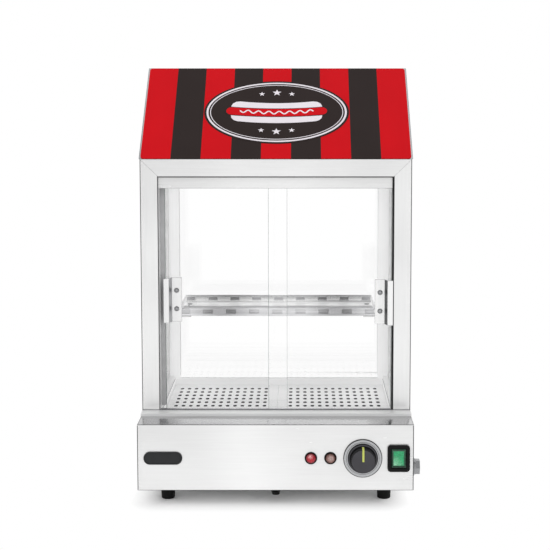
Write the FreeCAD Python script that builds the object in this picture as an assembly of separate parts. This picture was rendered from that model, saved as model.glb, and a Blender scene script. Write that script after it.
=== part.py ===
import FreeCAD, Part
import math
import os

# Hot dog steamer: a stainless steel base with a water pan and a heater, a glazed cabinet on top
# with two sliding glass doors, a bun shelf, and a striped gable roof.
# Lengths are in millimetres. X runs to the right, Y to the back, Z up, and Z is zero at the counter.

Vec = FreeCAD.Vector
X_AXIS = Vec(1, 0, 0)
Y_AXIS = Vec(0, 1, 0)
Z_AXIS = Vec(0, 0, 1)

# Overall sizes
cabinet_width = 350.0
base_depth = 310.0
base_height = 85.0
cabinet_height = 332.0
roof_height = 118.6
foot_height = 18.0

# Sheet metal, clearances and the overrun of every cut
sheet = 1.0
bend_radius = 1.6
gap = 0.3
shaft_gap = 0.08
overrun = 5.0
glass = 4.0

# Cabinet frame
sill_setback = 41.0
sill_height = 4.0
frame_setback = 60.0
post_width = 23.5
post_depth = 45.0
top_rail_height = 22.5
tube_wall = 1.2
rear_lip_width = 8.0
rear_lip_thickness = 1.5

# Well in the deck, with the water pan under it
well_setback = 68.0
well_step = 1.0
plate_drop = 9.5
pan_depth = 52.0
pan_flange = 11.0
kick_height = 14.0
rear_slot = 5.0

# Doors
door_overlap = 24.4
door_setback = 70.0
track_spacing = 18.0
door_travel_reserve = 15.9
left_strip_width = 5.0
right_strip_width = 1.2
strip_depth = 7.0
track_lip = 1.2
fascia_height = 15.7
upper_track_setback = 66.0
lower_track_top_drop = 2.5
lower_track_height = 5.0
glide_height = 4.0
glide_length = 22.0
glide_share = 0.12

# Handles
handle_height = 58.7
handle_plate = 13.5
handle_slope = 3.5
handle_lip = 6.0
handle_step = 11.0
handle_sheet = 1.5
handle_centre_height = 248.5
handle_reach = 1.4
handle_clear = 0.1
screw_spacing = 24.5
screw_head_radius = 3.3
screw_head_height = 1.8
screw_radius = 2.0
nut_radius = 3.8
nut_height = 2.4

# Perforated plates
plate_thickness = 1.0
plate_rows = 7
plate_columns = 13
row_pitch = 20.17
column_pitch = 10.06
column_margin_share = 0.75
slot_width = 4.8
slot_length = 9.0
plate_front_margin = 13.7
plate_rear_margin = 24.3
ledge_width = 9.0
ledge_thickness = 1.2
ledge_leg = 12.0

# Bun shelf
shelf_front_clear = 35.0
shelf_rear_clear = 15.0
shelf_side_clear = 17.5
shelf_floor_height = 217.5
shelf_rim = 11.0
rim_thickness = 2.0
rim_pocket_depth = 1.0
rim_slot_count = 9
rim_slot_pitch = 31.4
rim_slot_width = 13.0
rim_slot_height = 5.0
rim_slot_drop = 2.6
support_thickness = 1.5
support_drop = 10.0
support_foot = 17.0
support_lug = 7.0
rivet_shares = (0.2, 0.8)

# Side and rear glazing
gasket_width = 8.0
gasket_thickness = 9.0
gasket_grip = 4.0
bead_depth = 7.0

# Water heater
element_radius = 4.0
element_bend = 25.0
element_height = 62.0
element_inset = 41.0
element_front_inset = 32.0
element_return = 40.0
element_tail = 18.0
bush_radius = 9.0
bush_neck = 6.0
bush_outer = 4.0
bush_inner = 3.0
clip_width = 18.0
clip_length = 6.0
terminal_radius = 2.0
terminal_length = 9.0

# Drain
drain_setback = 35.0
drain_height = 39.0
drain_radius = 6.5
drain_wall = 1.2
drain_bend = 14.0
drain_bend_share = 0.8
drain_inset_x = 18.0
drain_inset_y = 22.0
drain_collar_radius = 12.0
drain_collar = 3.0
drain_cap_radius = 10.2
drain_cap_length = 7.0
drain_cap_skirt = 1.6
drain_spout = 6.0

# Controls on the front panel
control_height = 60.0
knob_inset = 64.6
dial_ring_radius = 24.6
dial_ring_height = 2.5
dial_ring_rim = 1.6
dial_ring_bore = 17.0
knob_skirt_radius = 19.25
knob_skirt_height = 4.2
knob_wall = 3.2
knob_face_radius = 15.15
knob_waist_radius = 15.9
knob_reach = 17.0
pointer_width = 2.8
pointer_depth = 1.2
pointer_below_centre = 2.3
shaft_radius = 3.0
shaft_depth = 14.0
thermostat_size = 36.0
thermostat_depth = 30.0
thermostat_neck = 5.0
lamp_insets = (130.2, 105.5)
lamp_radius = 8.0
lamp_flange = 2.2
lamp_lens_radius = 5.4
lamp_lens_proud = 2.6
lamp_neck = 6.0
lamp_body_length = 24.0
switch_inset = 19.2
switch_width = 28.4
switch_height = 34.5
switch_flange = 3.0
switch_corner = 4.5
switch_body_inset = 2.0
switch_body_depth = 28.0
switch_opening_half = (9.7, 12.6)
rocker_half = (9.3, 11.6)
rocker_proud = 5.0
rocker_dish = 2.2
rocker_back = 5.0
rocker_pivot_depth = 1.8
rocker_tilt = 6.0
rocker_cavity_depth = 14.0
trunnion_radius = 1.5
trunnion_reach = 1.4
badge_inset = 32.6
badge_width = 49.0
badge_height = 16.3
badge_thickness = 1.6
badge_rim = 1.2
badge_flat = 0.03

# Under the base
foot_x_inset = 36.0
foot_y_inset = 29.0
foot_radius = 9.25
foot_tip_radius = 8.5
foot_screw_radius = 2.5
foot_screw_head = 4.6
foot_screw_head_height = 3.0
foot_recess = 8.0
foot_screw_grip = 6.0
bottom_flange = 8.0
bottom_screw_inset = 5.0
reset_setback = 17.0
reset_radius = 5.9
reset_length = 4.7
reset_clear = 2.5
reset_collar = 2.5
reset_collar_radius = 7.5
reset_stem_radius = 4.0
reset_travel = 2.0
cutout_size = (30.0, 24.0, 26.0)
vent_count = 9
vent_width = 4.0
vent_length = 34.0
vent_pitch = 11.0

# Rear of the base
gland_inset = 55.0
gland_height = 45.0
gland_bore = 3.6
gland_thread_radius = 7.5
gland_hex_radius = 11.5
gland_hex_length = 6.0
gland_dome_radius = 9.5
gland_dome_length = 12.0
locknut_length = 4.0
terminal_block = (56.0, 22.0, 18.0)
terminal_block_inset = 50.0
terminal_pitch = 12.0
terminal_screw_radius = 2.6
terminal_screw_height = 1.5
earth_stud_radius = 3.0
earth_stud_length = 16.0
loom_radius = 3.5
capillary_radius = 1.2
bulb_radius = 3.5
bulb_length = 60.0

# Roof
roof_overhang = 1.0
roof_front_setback = 57.5
ridge_setback = 189.0
roof_sheet = 1.5
sign_margin = 2.0
sign_thickness = 0.6
stripe_count = 9
emblem_half = (96.0, 60.0)
emblem_thickness = 0.6
gable_inset = 2.0
gable_flange = 12.0
ceiling_lip = 3.0
roof_screw_inset = 40.0

# Places worked out from the sizes above
half_width = cabinet_width / 2
front_y = -base_depth / 2
back_y = base_depth / 2
deck_z = foot_height + base_height
frame_top_z = deck_z + cabinet_height
rail_bottom_z = frame_top_z - top_rail_height
sill_top_z = deck_z + sill_height
inner_x = half_width - post_width
frame_y = front_y + frame_setback
front_post_back_y = frame_y + post_depth
rear_post_y = back_y - post_depth
well_x = inner_x - well_step
well_y = front_y + well_setback
channel_depth = 2 * rear_lip_thickness + rear_slot
channel_back_y = rear_post_y + channel_depth
plate_top_z = deck_z - plate_drop
plate_bottom_z = plate_top_z - plate_thickness
pan_floor_z = deck_z - pan_depth
pan_rim_z = deck_z - sheet
plate_back_y = rear_post_y - sheet - gap
plate_front_y = plate_back_y - plate_front_margin - row_pitch * (plate_rows - 1) - plate_rear_margin
right_door_y = front_y + door_setback
left_door_y = right_door_y + track_spacing
track_middle_y = (right_door_y + glass + left_door_y) / 2
track_back_y = left_door_y + glass + right_door_y - front_y - upper_track_setback
lower_track_z = deck_z - lower_track_top_drop - lower_track_height
door_bottom_z = lower_track_z + track_lip + gap
door_top_z = rail_bottom_z - track_lip - 2 * gap
left_door_x = -inner_x + left_strip_width + gap
right_door_end = inner_x - right_strip_width - gap
door_width = (right_door_end - left_door_x + door_overlap) / 2
door_travel = door_width - door_overlap - door_travel_reserve
right_door_x = right_door_end - door_width
shelf_y = front_post_back_y + shelf_front_clear
shelf_back_y = rear_post_y - shelf_rear_clear
shelf_half_width = inner_x - shelf_side_clear
knob_x = half_width - knob_inset
lamp_xs = [half_width - inset for inset in lamp_insets]
switch_x = half_width - switch_inset
badge_x = badge_inset - half_width
gland_x = gland_inset - half_width
terminal_block_y = back_y - terminal_block_inset
emblem_depth = sign_thickness + emblem_thickness
left_plate_x = left_door_x - handle_reach + handle_lip + handle_slope
right_plate_x = inner_x - handle_clear - handle_lip - handle_slope - handle_plate
drain_out = drain_cap_length + drain_collar + gap
gland_out = gland_hex_length + gland_dome_length
gable_y = front_y + roof_front_setback
knob_face_y = front_y - knob_reach
knob_skirt_y = front_y - sheet - gap - knob_skirt_height
ridge_y = front_y + ridge_setback
ridge_z = frame_top_z + roof_height
roof_half_width = half_width + roof_overhang
to_origin = Vec(-(drain_out - roof_overhang) / 2, (knob_reach - gland_out) / 2, 0)


def box(x0, x1, y0, y1, z0, z1):
    return Part.makeBox(x1 - x0, y1 - y0, z1 - z0, Vec(x0, y0, z0))


def rod(radius, start, direction, length):
    return Part.makeCylinder(radius, length, start, direction)


def prism(points, along):
    corners = [Vec(*p) for p in points]
    return Part.Face(Part.makePolygon(corners + corners[:1])).extrude(along)


def merged(solids):
    whole = solids[0]
    for solid in solids[1:]:
        whole = whole.fuse(solid)
    return whole.removeSplitter()


def carved(solid, cuts):
    for cut in cuts:
        solid = solid.cut(cut)
    return solid


def hexagon(radius, start, direction, length):
    """A hexagonal bar; radius reaches its corners."""
    across = X_AXIS if abs(direction.x) < abs(direction.y) + abs(direction.z) else Y_AXIS
    other = direction.cross(across)
    corners = []
    for step in range(6):
        angle = math.radians(60 * step)
        corners.append(start + across * (radius * math.cos(angle)) + other * (radius * math.sin(angle)))
    return Part.Face(Part.makePolygon(corners + corners[:1])).extrude(direction * length)


def rounded_plate(x, z, width, height, corner, y0, y1):
    """A plate with rounded corners that faces the front, centred on x and z."""
    plate = box(x - width / 2, x + width / 2, y0, y1, z - height / 2, z + height / 2)
    edges = [e for e in plate.Edges if abs(e.tangentAt(e.FirstParameter).y) > 0.5]
    return plate.makeFillet(corner, edges)


def bent_rod(points, bend, radius):
    """A round bar along straight runs that are joined by arcs."""
    edges = []
    start = points[0]
    for before, corner, after in zip(points, points[1:], points[2:]):
        into = (corner - before).normalize()
        out = (after - corner).normalize()
        half_turn = into.getAngle(out) / 2
        reach = bend * math.tan(half_turn)
        arc_start = corner - into * reach
        arc_end = corner + out * reach
        bisector = (out - into).normalize()
        middle = corner + bisector * (bend / math.cos(half_turn) - bend)
        edges.append(Part.LineSegment(start, arc_start).toShape())
        edges.append(Part.Arc(arc_start, middle, arc_end).toShape())
        start = arc_end
    edges.append(Part.LineSegment(start, points[-1]).toShape())
    circle = Part.Circle(points[0], (points[1] - points[0]).normalize(), radius)
    return Part.Wire(edges).makePipeShell([Part.Wire(circle.toShape())], True, False)


def mirrored(shape):
    return shape.mirror(Vec(0, 0, 0), X_AXIS)


def housing_shell():
    """Front, sides, back and deck as one shell, open below, with every cut-out in it."""
    outer = box(-half_width, half_width, front_y, back_y, foot_height, deck_z)
    folds = [
        e
        for e in outer.Edges
        if e.CenterOfMass.z > foot_height + sheet
    ]
    outer = outer.makeFillet(bend_radius, folds)
    inner = box(
        -half_width + sheet,
        half_width - sheet,
        front_y + sheet,
        back_y - sheet,
        foot_height + 2 * sheet,
        deck_z - sheet,
    )
    mouth = box(
        -half_width + sheet + bottom_flange,
        half_width - sheet - bottom_flange,
        front_y + sheet + bottom_flange,
        back_y - sheet - bottom_flange,
        foot_height - overrun,
        foot_height + 2 * sheet + overrun,
    )
    plate_seat = box(
        -half_width + sheet,
        half_width - sheet,
        front_y + sheet,
        back_y - sheet,
        foot_height - overrun,
        foot_height + sheet,
    )
    well = box(-well_x, well_x, well_y, channel_back_y, deck_z - overrun, deck_z + overrun)
    cuts = [inner, mouth, plate_seat, well]
    for x in lamp_xs:
        cuts.append(rod(lamp_neck + gap, Vec(x, front_y - overrun, control_height), Y_AXIS, 2 * overrun))
    cuts.append(rod(thermostat_neck + gap, Vec(knob_x, front_y - overrun, control_height), Y_AXIS, 2 * overrun))
    cuts.append(
        box(
            switch_x - switch_width / 2 + switch_body_inset - gap,
            switch_x + switch_width / 2 - switch_body_inset + gap,
            front_y - overrun,
            front_y + overrun,
            control_height - switch_height / 2 + switch_body_inset - gap,
            control_height + switch_height / 2 - switch_body_inset + gap,
        )
    )
    cuts.append(
        rod(drain_radius + gap, Vec(half_width - overrun, front_y + drain_setback, drain_height), X_AXIS, 2 * overrun)
    )
    cuts.append(rod(gland_thread_radius + gap, Vec(gland_x, back_y - overrun, gland_height), Y_AXIS, 2 * overrun))
    for x, y in bottom_screw_places():
        cuts.append(rod(screw_radius + gap, Vec(x, y, foot_height - overrun), Z_AXIS, 2 * overrun + sheet))
    for x in rear_vent_places():
        cuts.append(
            box(
                x - vent_width / 2,
                x + vent_width / 2,
                back_y - overrun,
                back_y + overrun,
                gland_height - vent_length / 2 + vent_width,
                gland_height + vent_length / 2 + vent_width,
            )
        )
    return carved(outer, cuts)


def base_housing():
    """The shell as its four welded sheets: front with deck, two sides and the back."""
    shell = housing_shell()
    flange_top = foot_height + 2 * sheet
    left = merged([
        box(-half_width, bend_radius - half_width, front_y, back_y, foot_height, deck_z),
        box(-half_width, sheet + bottom_flange - half_width, front_y, back_y, foot_height, flange_top),
    ])
    back = merged([
        box(-half_width, half_width, back_y - bend_radius, back_y, foot_height, deck_z),
        box(-half_width, half_width, back_y - sheet - bottom_flange, back_y, foot_height, flange_top),
    ])
    back = carved(back, [left, mirrored(left)])
    front = carved(shell, [left, mirrored(left), back])
    return [front, shell.common(left), shell.common(mirrored(left)), shell.common(back)]


def rear_vent_places():
    return [vent_pitch * (step + 1) for step in range(vent_count)]


def bottom_screw_places():
    """Two screws along each long side and one in the middle of the back."""
    reach = half_width - sheet - bottom_screw_inset
    rear = back_y - sheet - bottom_screw_inset
    middle = (front_y + back_y) / 2
    places = []
    for x in (-reach, reach):
        for y in (middle - base_depth / 4, middle + base_depth / 4):
            places.append((x, y))
    places.append((0, rear))
    return places


def foot_places():
    reach_x = half_width - foot_x_inset
    return [
        (x, y)
        for x in (-reach_x, reach_x)
        for y in (front_y + foot_y_inset, back_y - foot_y_inset)
    ]


def base_bottom_plate():
    plate = box(
        -half_width + sheet + gap,
        half_width - sheet - gap,
        front_y + sheet + gap,
        back_y - sheet - gap,
        foot_height,
        foot_height + sheet,
    )
    cuts = []
    for x, y in bottom_screw_places():
        cuts.append(rod(screw_radius + gap, Vec(x, y, foot_height - overrun), Z_AXIS, 2 * overrun))
    for x, y in foot_places():
        cuts.append(rod(foot_screw_radius + gap, Vec(x, y, foot_height - overrun), Z_AXIS, 2 * overrun))
    cuts.append(
        rod(reset_stem_radius + gap, Vec(0, front_y + reset_setback, foot_height - overrun), Z_AXIS, 2 * overrun)
    )
    first = -vent_pitch * (vent_count - 1) / 2
    for step in range(vent_count):
        x = first + vent_pitch * step
        cuts.append(
            box(x - vent_width / 2, x + vent_width / 2, -vent_length / 2, vent_length / 2,
                foot_height - overrun, foot_height + overrun)
        )
    return carved(plate, cuts)


def bottom_screws():
    screws = []
    for x, y in bottom_screw_places():
        head = rod(screw_head_radius, Vec(x, y, foot_height - screw_head_height), Z_AXIS, screw_head_height)
        shank = rod(screw_radius, Vec(x, y, foot_height), Z_AXIS, 2 * sheet + screw_head_height)
        screws.append(head.fuse(shank).removeSplitter())
    return screws


def feet():
    pads = []
    for x, y in foot_places():
        pad = Part.makeCone(foot_tip_radius, foot_radius, foot_height, Vec(x, y, 0))
        recess = rod(foot_screw_head + gap, Vec(x, y, -overrun), Z_AXIS, overrun + foot_recess)
        bore = rod(foot_screw_radius + shaft_gap, Vec(x, y, 0), Z_AXIS, foot_height + overrun)
        pads.append(carved(pad, [recess, bore]))
    return pads


def foot_screws():
    screws = []
    for x, y in foot_places():
        head_z = foot_recess - foot_screw_head_height
        head = rod(foot_screw_head, Vec(x, y, head_z), Z_AXIS, foot_screw_head_height)
        shank = rod(foot_screw_radius, Vec(x, y, foot_recess), Z_AXIS,
                    foot_height + sheet + foot_screw_grip - foot_recess)
        nut = hexagon(foot_screw_head, Vec(x, y, foot_height + sheet), Z_AXIS, nut_height)
        screws.append(merged([head, shank, nut]))
    return screws


def water_pan():
    """The tank that hangs under the deck, with a flange on three sides and a kick at the back."""
    outer_x = well_x + sheet
    body = box(-outer_x, outer_x, well_y - sheet, rear_post_y, pan_floor_z - sheet, pan_rim_z)
    flange = box(
        -outer_x - pan_flange,
        outer_x + pan_flange,
        well_y - sheet - pan_flange,
        rear_post_y,
        pan_rim_z - sheet,
        pan_rim_z,
    )
    kick = box(-well_x, well_x, rear_post_y - sheet, rear_post_y, pan_rim_z, deck_z)
    hollow = box(-well_x, well_x, well_y, rear_post_y - sheet, pan_floor_z, deck_z + overrun)
    cuts = [hollow]
    for x in element_entries():
        cuts.append(rod(bush_neck, Vec(x, well_y - overrun, element_height), Y_AXIS, 2 * overrun))
    drain = drain_start()
    cuts.append(rod(drain_radius - drain_wall, Vec(drain.x, drain.y, pan_floor_z - overrun), Z_AXIS, 2 * overrun))
    return carved(merged([body, flange, kick]), cuts)


def element_entries():
    """Where the two ends of the heating element pass the front wall of the pan."""
    left = -well_x + element_inset
    return (left, left + element_return)


def heating_element():
    left, back = element_entries()
    right = well_x - element_inset
    rear = rear_post_y - sheet - element_front_inset
    front = well_y + element_front_inset
    tail = well_y - element_tail
    points = [
        Vec(left, tail, element_height),
        Vec(left, rear, element_height),
        Vec(right, rear, element_height),
        Vec(right, front, element_height),
        Vec(back, front, element_height),
        Vec(back, tail, element_height),
    ]
    return bent_rod(points, element_bend, element_radius)


def element_bushes():
    bushes = []
    for x in element_entries():
        outer = rod(bush_radius, Vec(x, well_y - sheet - bush_outer, element_height), Y_AXIS, bush_outer)
        neck = rod(bush_neck, Vec(x, well_y - sheet, element_height), Y_AXIS, sheet)
        inner = rod(bush_radius, Vec(x, well_y, element_height), Y_AXIS, bush_inner)
        bore = rod(element_radius, Vec(x, well_y - sheet - 2 * bush_outer, element_height), Y_AXIS,
                   sheet + 3 * bush_outer + bush_inner)
        bushes.append(merged([outer, neck, inner]).cut(bore))
    return bushes


def element_terminals():
    pins = []
    for x in element_entries():
        start = Vec(x, well_y - element_tail - terminal_length, element_height)
        pins.append(rod(terminal_radius, start, Y_AXIS, terminal_length))
    return pins


def element_clips():
    """Saddles on the pan floor that carry the element."""
    left = element_entries()[0]
    right = well_x - element_inset
    middle = (well_y + rear_post_y) / 2
    clips = []
    for x in (left, right):
        saddle = box(x - clip_width / 2, x + clip_width / 2, middle - clip_length / 2, middle + clip_length / 2,
                     pan_floor_z, element_height)
        groove = rod(element_radius + shaft_gap, Vec(x, middle - clip_length, element_height), Y_AXIS,
                     2 * clip_length)
        clips.append(saddle.cut(groove))
    return clips


def drain_start():
    return Vec(well_x - drain_inset_x, well_y + drain_inset_y, pan_floor_z - sheet)


def drain_pipe():
    """From the pan floor down, forward and out through the right side."""
    top = drain_start()
    mouth_x = half_width + drain_collar + gap + drain_spout
    side_y = front_y + drain_setback
    points = [
        top,
        Vec(top.x, top.y, drain_height),
        Vec(top.x, side_y, drain_height),
        Vec(mouth_x, side_y, drain_height),
    ]
    drop = top.z - drain_height
    bend = min(drain_bend, drop * drain_bend_share)
    outer = bent_rod(points, bend, drain_radius)
    inner = bent_rod(points, bend, drain_radius - drain_wall)
    return outer.cut(inner)


def drain_collar_nut():
    start = Vec(half_width, front_y + drain_setback, drain_height)
    nut = rod(drain_collar_radius, start, X_AXIS, drain_collar)
    return nut.cut(rod(drain_radius, start - X_AXIS * overrun, X_AXIS, drain_collar + 2 * overrun))


def drain_cap():
    """A hexagonal cap with a round skirt, on the spout's thread."""
    start = Vec(half_width + drain_collar + gap, front_y + drain_setback, drain_height)
    skirt = rod(drain_cap_radius, start, X_AXIS, drain_cap_skirt)
    head = hexagon(drain_cap_radius, start + X_AXIS * drain_cap_skirt, X_AXIS, drain_cap_length - drain_cap_skirt)
    bore = rod(drain_radius + shaft_gap, start - X_AXIS * overrun, X_AXIS, overrun + drain_spout + shaft_gap)
    return merged([skirt, head]).cut(bore)


def thermostat_body():
    """The regulator behind the panel, with the neck that passes through it."""
    half = thermostat_size / 2
    body = box(knob_x - half, knob_x + half, front_y + sheet, front_y + sheet + thermostat_depth,
               control_height - half, control_height + half)
    neck = rod(thermostat_neck, Vec(knob_x, front_y - gap, control_height), Y_AXIS, sheet + 2 * gap)
    bore = rod(shaft_radius + shaft_gap, Vec(knob_x, front_y - overrun, control_height), Y_AXIS,
               overrun + shaft_depth + gap)
    return merged([body, neck]).cut(bore)


def thermostat_shaft():
    return rod(shaft_radius, Vec(knob_x, front_y - knob_reach + knob_wall, control_height), Y_AXIS,
               knob_reach - knob_wall + shaft_depth)


def dial_ring():
    start = Vec(knob_x, front_y - dial_ring_height, control_height)
    ring = rod(dial_ring_radius, start, Y_AXIS, dial_ring_height)
    dish = Part.makeCone(
        dial_ring_radius - dial_ring_rim,
        knob_skirt_radius + gap,
        dial_ring_height - sheet,
        start,
        Y_AXIS,
    )
    bore = rod(dial_ring_bore, start - Y_AXIS * overrun, Y_AXIS, dial_ring_height + 2 * overrun)
    return carved(ring, [dish, bore])


def knob_grip():
    """The tapered part of the knob, from its face down to its skirt."""
    return Part.makeCone(knob_face_radius, knob_waist_radius, knob_skirt_y - knob_face_y,
                         Vec(knob_x, knob_face_y, control_height), Y_AXIS)


def control_knob():
    skirt = rod(knob_skirt_radius - gap, Vec(knob_x, knob_skirt_y, control_height), Y_AXIS, knob_skirt_height)
    bore = rod(shaft_radius, Vec(knob_x, knob_face_y + knob_wall, control_height), Y_AXIS, knob_reach)
    return carved(merged([skirt, knob_grip()]), [bore, pointer_strip()])


def pointer_strip():
    """Room for the pale line: across the upper half of the face and down the flank to the skirt."""
    half = pointer_width / 2
    top_z = control_height + knob_waist_radius
    face_run = box(knob_x - half, knob_x + half, knob_face_y, knob_face_y + pointer_depth,
                   control_height - pointer_below_centre, top_z)
    flank_run = box(knob_x - half, knob_x + half, knob_face_y, knob_skirt_y,
                    control_height + knob_face_radius - pointer_depth, top_z)
    return merged([face_run, flank_run])


def knob_pointer():
    """The strip lies in a groove of the knob, flush with its face and flank."""
    return pointer_strip().common(knob_grip())


def lamp_bodies():
    """Round bezels in front of the panel, each in one moulding with the body behind it."""
    bodies = []
    for x in lamp_xs:
        start = Vec(x, front_y - lamp_flange, control_height)
        flange = Part.makeCone(lamp_radius - lamp_flange / 2, lamp_radius, lamp_flange, start, Y_AXIS)
        barrel = rod(lamp_neck, Vec(x, front_y, control_height), Y_AXIS, sheet + lamp_body_length)
        seat = rod(lamp_lens_radius, start - Y_AXIS * overrun, Y_AXIS, overrun + lamp_flange + sheet)
        bodies.append(merged([flange, barrel]).cut(seat))
    return bodies


def lamp_lens(x):
    """A low dome on a short barrel."""
    barrel_start = Vec(x, front_y - lamp_flange, control_height)
    barrel = rod(lamp_lens_radius, barrel_start, Y_AXIS, lamp_flange + sheet)
    rise = lamp_lens_proud
    ball_radius = (lamp_lens_radius ** 2 + rise ** 2) / (2 * rise)
    ball = Part.makeSphere(ball_radius, Vec(x, barrel_start.y + ball_radius - rise, control_height))
    cap = ball.common(rod(lamp_lens_radius, barrel_start - Y_AXIS * rise, Y_AXIS, rise))
    return merged([barrel, cap])


def rocker_pivot():
    return Vec(switch_x, front_y + rocker_pivot_depth, control_height)


def switch_hole(y0, y1):
    half_w, half_h = switch_opening_half
    return box(switch_x - half_w, switch_x + half_w, y0, y1, control_height - half_h, control_height + half_h)


def switch_bezel():
    flange = rounded_plate(switch_x, control_height, switch_width, switch_height, switch_corner,
                           front_y - switch_flange, front_y)
    return flange.cut(switch_hole(front_y - overrun, front_y + overrun))


def switch_body():
    half_w = switch_width / 2 - switch_body_inset
    half_h = switch_height / 2 - switch_body_inset
    body = box(switch_x - half_w, switch_x + half_w, front_y, front_y + switch_body_depth,
               control_height - half_h, control_height + half_h)
    pivot = rocker_pivot()
    reach = switch_opening_half[0] + trunnion_reach + gap
    socket = rod(trunnion_radius + shaft_gap, pivot - X_AXIS * reach, X_AXIS, 2 * reach)
    return carved(body, [switch_hole(front_y - overrun, front_y + rocker_cavity_depth), socket])


def switch_rocker():
    """A dished rocker on two trunnions, tilted to its off side."""
    half_w, half_h = rocker_half
    pivot = rocker_pivot()
    front = front_y - rocker_proud
    back = front_y + rocker_back
    profile = [
        (switch_x - half_w, front, control_height - half_h),
        (switch_x - half_w, front + rocker_dish, control_height),
        (switch_x - half_w, front, control_height + half_h),
        (switch_x - half_w, back, control_height + half_h),
        (switch_x - half_w, back + rocker_dish, control_height),
        (switch_x - half_w, back, control_height - half_h),
    ]
    key = prism(profile, X_AXIS * (2 * half_w))
    reach = switch_opening_half[0] + trunnion_reach
    pins = rod(trunnion_radius, pivot - X_AXIS * reach, X_AXIS, 2 * reach)
    rocker = merged([key, pins])
    rocker.rotate(pivot, X_AXIS, -rocker_tilt)
    return rocker


def badge_plate():
    """A blank pill-shaped plate with a raised rim."""
    plate = rounded_plate(badge_x, control_height, badge_width, badge_height, badge_height / 2 - badge_flat,
                          front_y - badge_thickness, front_y)
    inner_height = badge_height - 2 * badge_rim
    field = rounded_plate(badge_x, control_height, badge_width - 2 * badge_rim, inner_height,
                          inner_height / 2 - badge_flat, front_y - badge_thickness - overrun,
                          front_y - badge_thickness / 2)
    return plate.cut(field)


def overheat_cutout():
    wide, deep, tall = cutout_size
    y = front_y + reset_setback
    front = front_y + sheet + bottom_flange + gap
    body = box(-wide / 2, wide / 2, front, front + deep, foot_height + sheet, foot_height + sheet + tall)
    well = rod(reset_stem_radius + shaft_gap, Vec(0, y, foot_height), Z_AXIS,
               sheet + 2 * reset_travel + reset_clear + gap)
    return body.cut(well)


def reset_collar_nut():
    start = Vec(0, front_y + reset_setback, foot_height - reset_collar)
    nut = hexagon(reset_collar_radius, start, Z_AXIS, reset_collar)
    return nut.cut(rod(reset_stem_radius + shaft_gap, start - Z_AXIS * overrun, Z_AXIS, reset_collar + 2 * overrun))


def reset_button():
    y = front_y + reset_setback
    cap_z = foot_height - reset_collar - reset_clear - reset_length
    cap = Part.makeCone(reset_radius - sheet, reset_radius, reset_length, Vec(0, y, cap_z))
    stem = rod(reset_stem_radius, Vec(0, y, cap_z), Z_AXIS,
               reset_length + reset_clear + reset_collar + sheet + reset_travel)
    return merged([cap, stem])


def cable_gland():
    start = Vec(gland_x, back_y, gland_height)
    flange = hexagon(gland_hex_radius, start, Y_AXIS, gland_hex_length)
    dome = Part.makeCone(gland_dome_radius, gland_dome_radius - 2 * sheet, gland_dome_length,
                         start + Y_AXIS * gland_hex_length, Y_AXIS)
    thread_length = sheet + locknut_length + gland_hex_length
    thread = rod(gland_thread_radius, start - Y_AXIS * thread_length, Y_AXIS, thread_length)
    bore = rod(gland_bore, start - Y_AXIS * (thread_length + overrun), Y_AXIS,
               thread_length + gland_out + 2 * overrun)
    return merged([flange, dome, thread]).cut(bore)


def gland_locknut():
    start = Vec(gland_x, back_y - sheet - locknut_length, gland_height)
    nut = hexagon(gland_hex_radius, start, Y_AXIS, locknut_length)
    return nut.cut(rod(gland_thread_radius, start - Y_AXIS * overrun, Y_AXIS, locknut_length + 2 * overrun))


def terminal_block_parts():
    """The mains terminal block on the bottom plate, and its screws."""
    wide, deep, tall = terminal_block
    floor = foot_height + sheet
    block = box(gland_x, gland_x + wide, terminal_block_y, terminal_block_y + deep, floor, floor + tall)
    screws = []
    count = int((wide - terminal_pitch / 2) / terminal_pitch)
    for step in range(count):
        x = gland_x + terminal_pitch * (step + 1) - terminal_pitch / 4
        screws.append(rod(terminal_screw_radius, Vec(x, terminal_block_y + deep / 2, floor + tall), Z_AXIS,
                          terminal_screw_height))
    return block, screws


def earth_stud():
    wide, deep, tall = terminal_block
    place = Vec(gland_x + wide + terminal_pitch, terminal_block_y + deep / 2, foot_height + sheet)
    stud = rod(earth_stud_radius, place, Z_AXIS, earth_stud_length)
    nut = hexagon(2 * earth_stud_radius, place, Z_AXIS, nut_height)
    return merged([stud, nut])


def wiring_loom():
    """The bundled leads from the terminal block to the switch, under the pan."""
    wide, deep, tall = terminal_block
    z = foot_height + sheet + loom_radius
    block_end = Vec(gland_x + wide / 2, terminal_block_y, z)
    front_run = front_y + reset_setback + cutout_size[1] + terminal_pitch
    run_x = switch_x - switch_width
    points = [
        block_end,
        Vec(block_end.x, front_run, z),
        Vec(run_x, front_run, z),
        Vec(run_x, front_y + switch_body_depth / 2, z),
    ]
    return bent_rod(points, 4 * loom_radius, loom_radius)


def thermostat_capillary():
    """The sensing bulb under the pan and the thin tube that joins it to the regulator."""
    z = pan_floor_z - sheet - bulb_radius
    bulb_y = well_y + drain_inset_y + 2 * drain_radius
    bulb = rod(bulb_radius, Vec(knob_x, bulb_y, z), Y_AXIS, bulb_length)
    tail_y = front_y + sheet + thermostat_depth
    tube = rod(capillary_radius, Vec(knob_x, tail_y, z), Y_AXIS, bulb_y - tail_y)
    return merged([bulb, tube])


def sill_flange():
    """The strip in front of the posts and the two side strips under them."""
    front = box(-half_width, half_width, front_y + sill_setback, well_y, deck_z, sill_top_z)
    left = box(-half_width, -inner_x, well_y, back_y, deck_z, sill_top_z)
    right = box(inner_x, half_width, well_y, back_y, deck_z, sill_top_z)
    return merged([front, left, right])


def box_tube(x0, x1, y0, y1, z0, z1, along):
    """A rectangular tube, hollow along one axis."""
    x_wall, y_wall, z_wall = [-overrun if axis == along else tube_wall for axis in "xyz"]
    core = box(x0 + x_wall, x1 - x_wall, y0 + y_wall, y1 - y_wall, z0 + z_wall, z1 - z_wall)
    return box(x0, x1, y0, y1, z0, z1).cut(core)


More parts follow.
